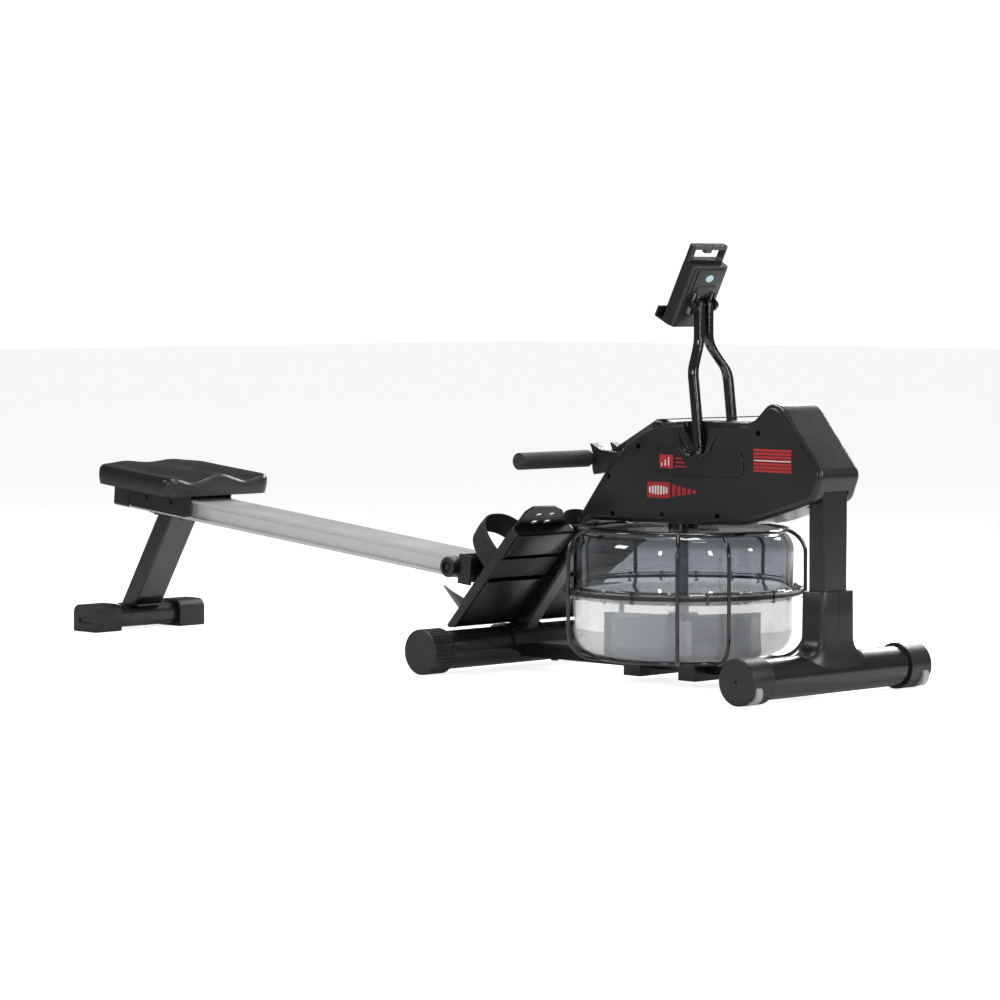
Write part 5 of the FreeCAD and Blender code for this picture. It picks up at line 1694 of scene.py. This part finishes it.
# ================================================================ studio
@dataclass
class Studio:
    """Pale floor, soft lights and the camera."""

    camera_at: Point = (5.8605, -5.6254, 0.7933)
    turn: float = 45.479
    dip: float = 3.241
    lens: float = 140.17
    floor: float = 0.82
    lights: tuple[tuple[str, Point, Point, tuple[float, float], float], ...] = (
        ("key", (-1.2, -3.0, 2.4), (0.5, 0.0, 0.3), (0.9, 0.9), 44.0),
        ("top", (0.4, 0.4, 2.9), (0.2, 0.0, 0.2), (2.8, 0.5), 60.0),
        ("front", (3.6, 1.4, 1.9), (0.9, 0.0, 0.4), (0.6, 1.5), 48.0),
        ("back", (-0.6, 3.2, 2.0), (0.3, 0.0, 0.2), (2.6, 0.6), 110.0),
        ("left_strip", (2.2, -4.6, 1.5), (0.7, 0.0, 0.45), (0.30, 1.7), 34.0),
        ("right_strip", (4.9, -1.5, 1.5), (0.7, 0.0, 0.45), (0.30, 1.7), 34.0))

    def build(self) -> None:
        """Builds the studio."""
        bpy.context.scene.view_settings.view_transform = "Standard"
        self.add_camera()
        self.add_floor()
        self.add_world()
        for light in self.lights:
            self.add_light(*light)

    def add_camera(self) -> None:
        """Camera a little above the rail's height, to the front right."""
        data = bpy.data.cameras.new("camera")
        data.lens = self.lens
        data.clip_end = 60.0
        camera = bpy.data.objects.new("camera", data)
        camera.location = self.camera_at
        camera.rotation_euler = (math.radians(90 - self.dip), 0.0, math.radians(self.turn))
        bpy.context.scene.collection.objects.link(camera)
        bpy.context.scene.camera = camera

    def add_floor(self) -> None:
        """Plain pale floor."""
        sheet = bmesh.new()
        bmesh.ops.create_grid(sheet, x_segments=1, y_segments=1, size=30.0)
        floor = new_piece("floor", mesh_from("floor", sheet))
        made = bpy.data.materials.new("studio_floor")
        made.use_nodes = True
        graph = Graph(made.node_tree)
        shader = made.node_tree.nodes["Principled BSDF"]
        shader.inputs["Base Color"].default_value = (self.floor, self.floor, self.floor, 1.0)
        shader.inputs["Roughness"].default_value = 0.45
        shader.inputs["Specular IOR Level"].default_value = 0.25
        rays = graph.node("ShaderNodeLightPath")
        seen = graph.maths("MAXIMUM", rays.outputs["Is Camera Ray"], rays.outputs["Is Transmission Ray"])
        level = graph.maths("ADD", graph.maths("MULTIPLY", seen, 0.72), 0.08)
        glow = graph.node("ShaderNodeEmission", {"Color": (1.0, 1.0, 1.0, 1.0), "Strength": level})
        both = graph.node("ShaderNodeAddShader", {0: shader.outputs[0], 1: glow.outputs[0]})
        graph.tree.links.new(both.outputs[0], made.node_tree.nodes["Material Output"].inputs["Surface"])
        floor.data.materials.append(made)

    def add_world(self) -> None:
        """White surround for the camera, and a dimmer one for what lights the machine."""
        world = bpy.data.worlds.new("studio")
        world.use_nodes = True
        graph = Graph(world.node_tree)
        world.node_tree.nodes.clear()
        rays = graph.node("ShaderNodeLightPath")
        seen = graph.node("ShaderNodeBackground", {"Color": (1.0, 1.0, 1.0, 1.0), "Strength": 1.15})
        lit = graph.node("ShaderNodeBackground", {"Color": (0.95, 0.97, 1.0, 1.0), "Strength": 0.16})
        direct = graph.maths("MAXIMUM", rays.outputs["Is Camera Ray"], rays.outputs["Is Transmission Ray"])
        mixed = graph.node("ShaderNodeMixShader", {0: direct, 1: lit.outputs[0], 2: seen.outputs[0]})
        graph.node("ShaderNodeOutputWorld", {0: mixed.outputs[0]})
        bpy.context.scene.world = world

    def add_light(self, name: str, place: Point, aim: Point, size: tuple[float, float],
                  power: float) -> None:
        """Adds one soft box.

        Args:
            name: its name.
            place: where it hangs.
            aim: the point that it faces.
            size: its width and height.
            power: its power in watts.
        """
        data = bpy.data.lights.new(name, "AREA")
        data.shape = "RECTANGLE"
        data.size, data.size_y = size
        data.energy = power
        light = bpy.data.objects.new(name, data)
        light.location = place
        light.rotation_euler = (Vector(aim) - Vector(place)).to_track_quat("-Z", "Y").to_euler()
        bpy.context.scene.collection.objects.link(light)


def main() -> None:
    """Builds the studio and then each sub-assembly."""
    logging.basicConfig(level=logging.INFO, format="%(message)s")
    for part in (Studio(), Frame(), Rail(), Seat(), Footrests(), Tank(), Housing(), Drive(), ConsoleStand(),
                 Console()):
        part.build()
        LOG.info("%s done", type(part).__name__)


if __name__ == "__main__":
    main()
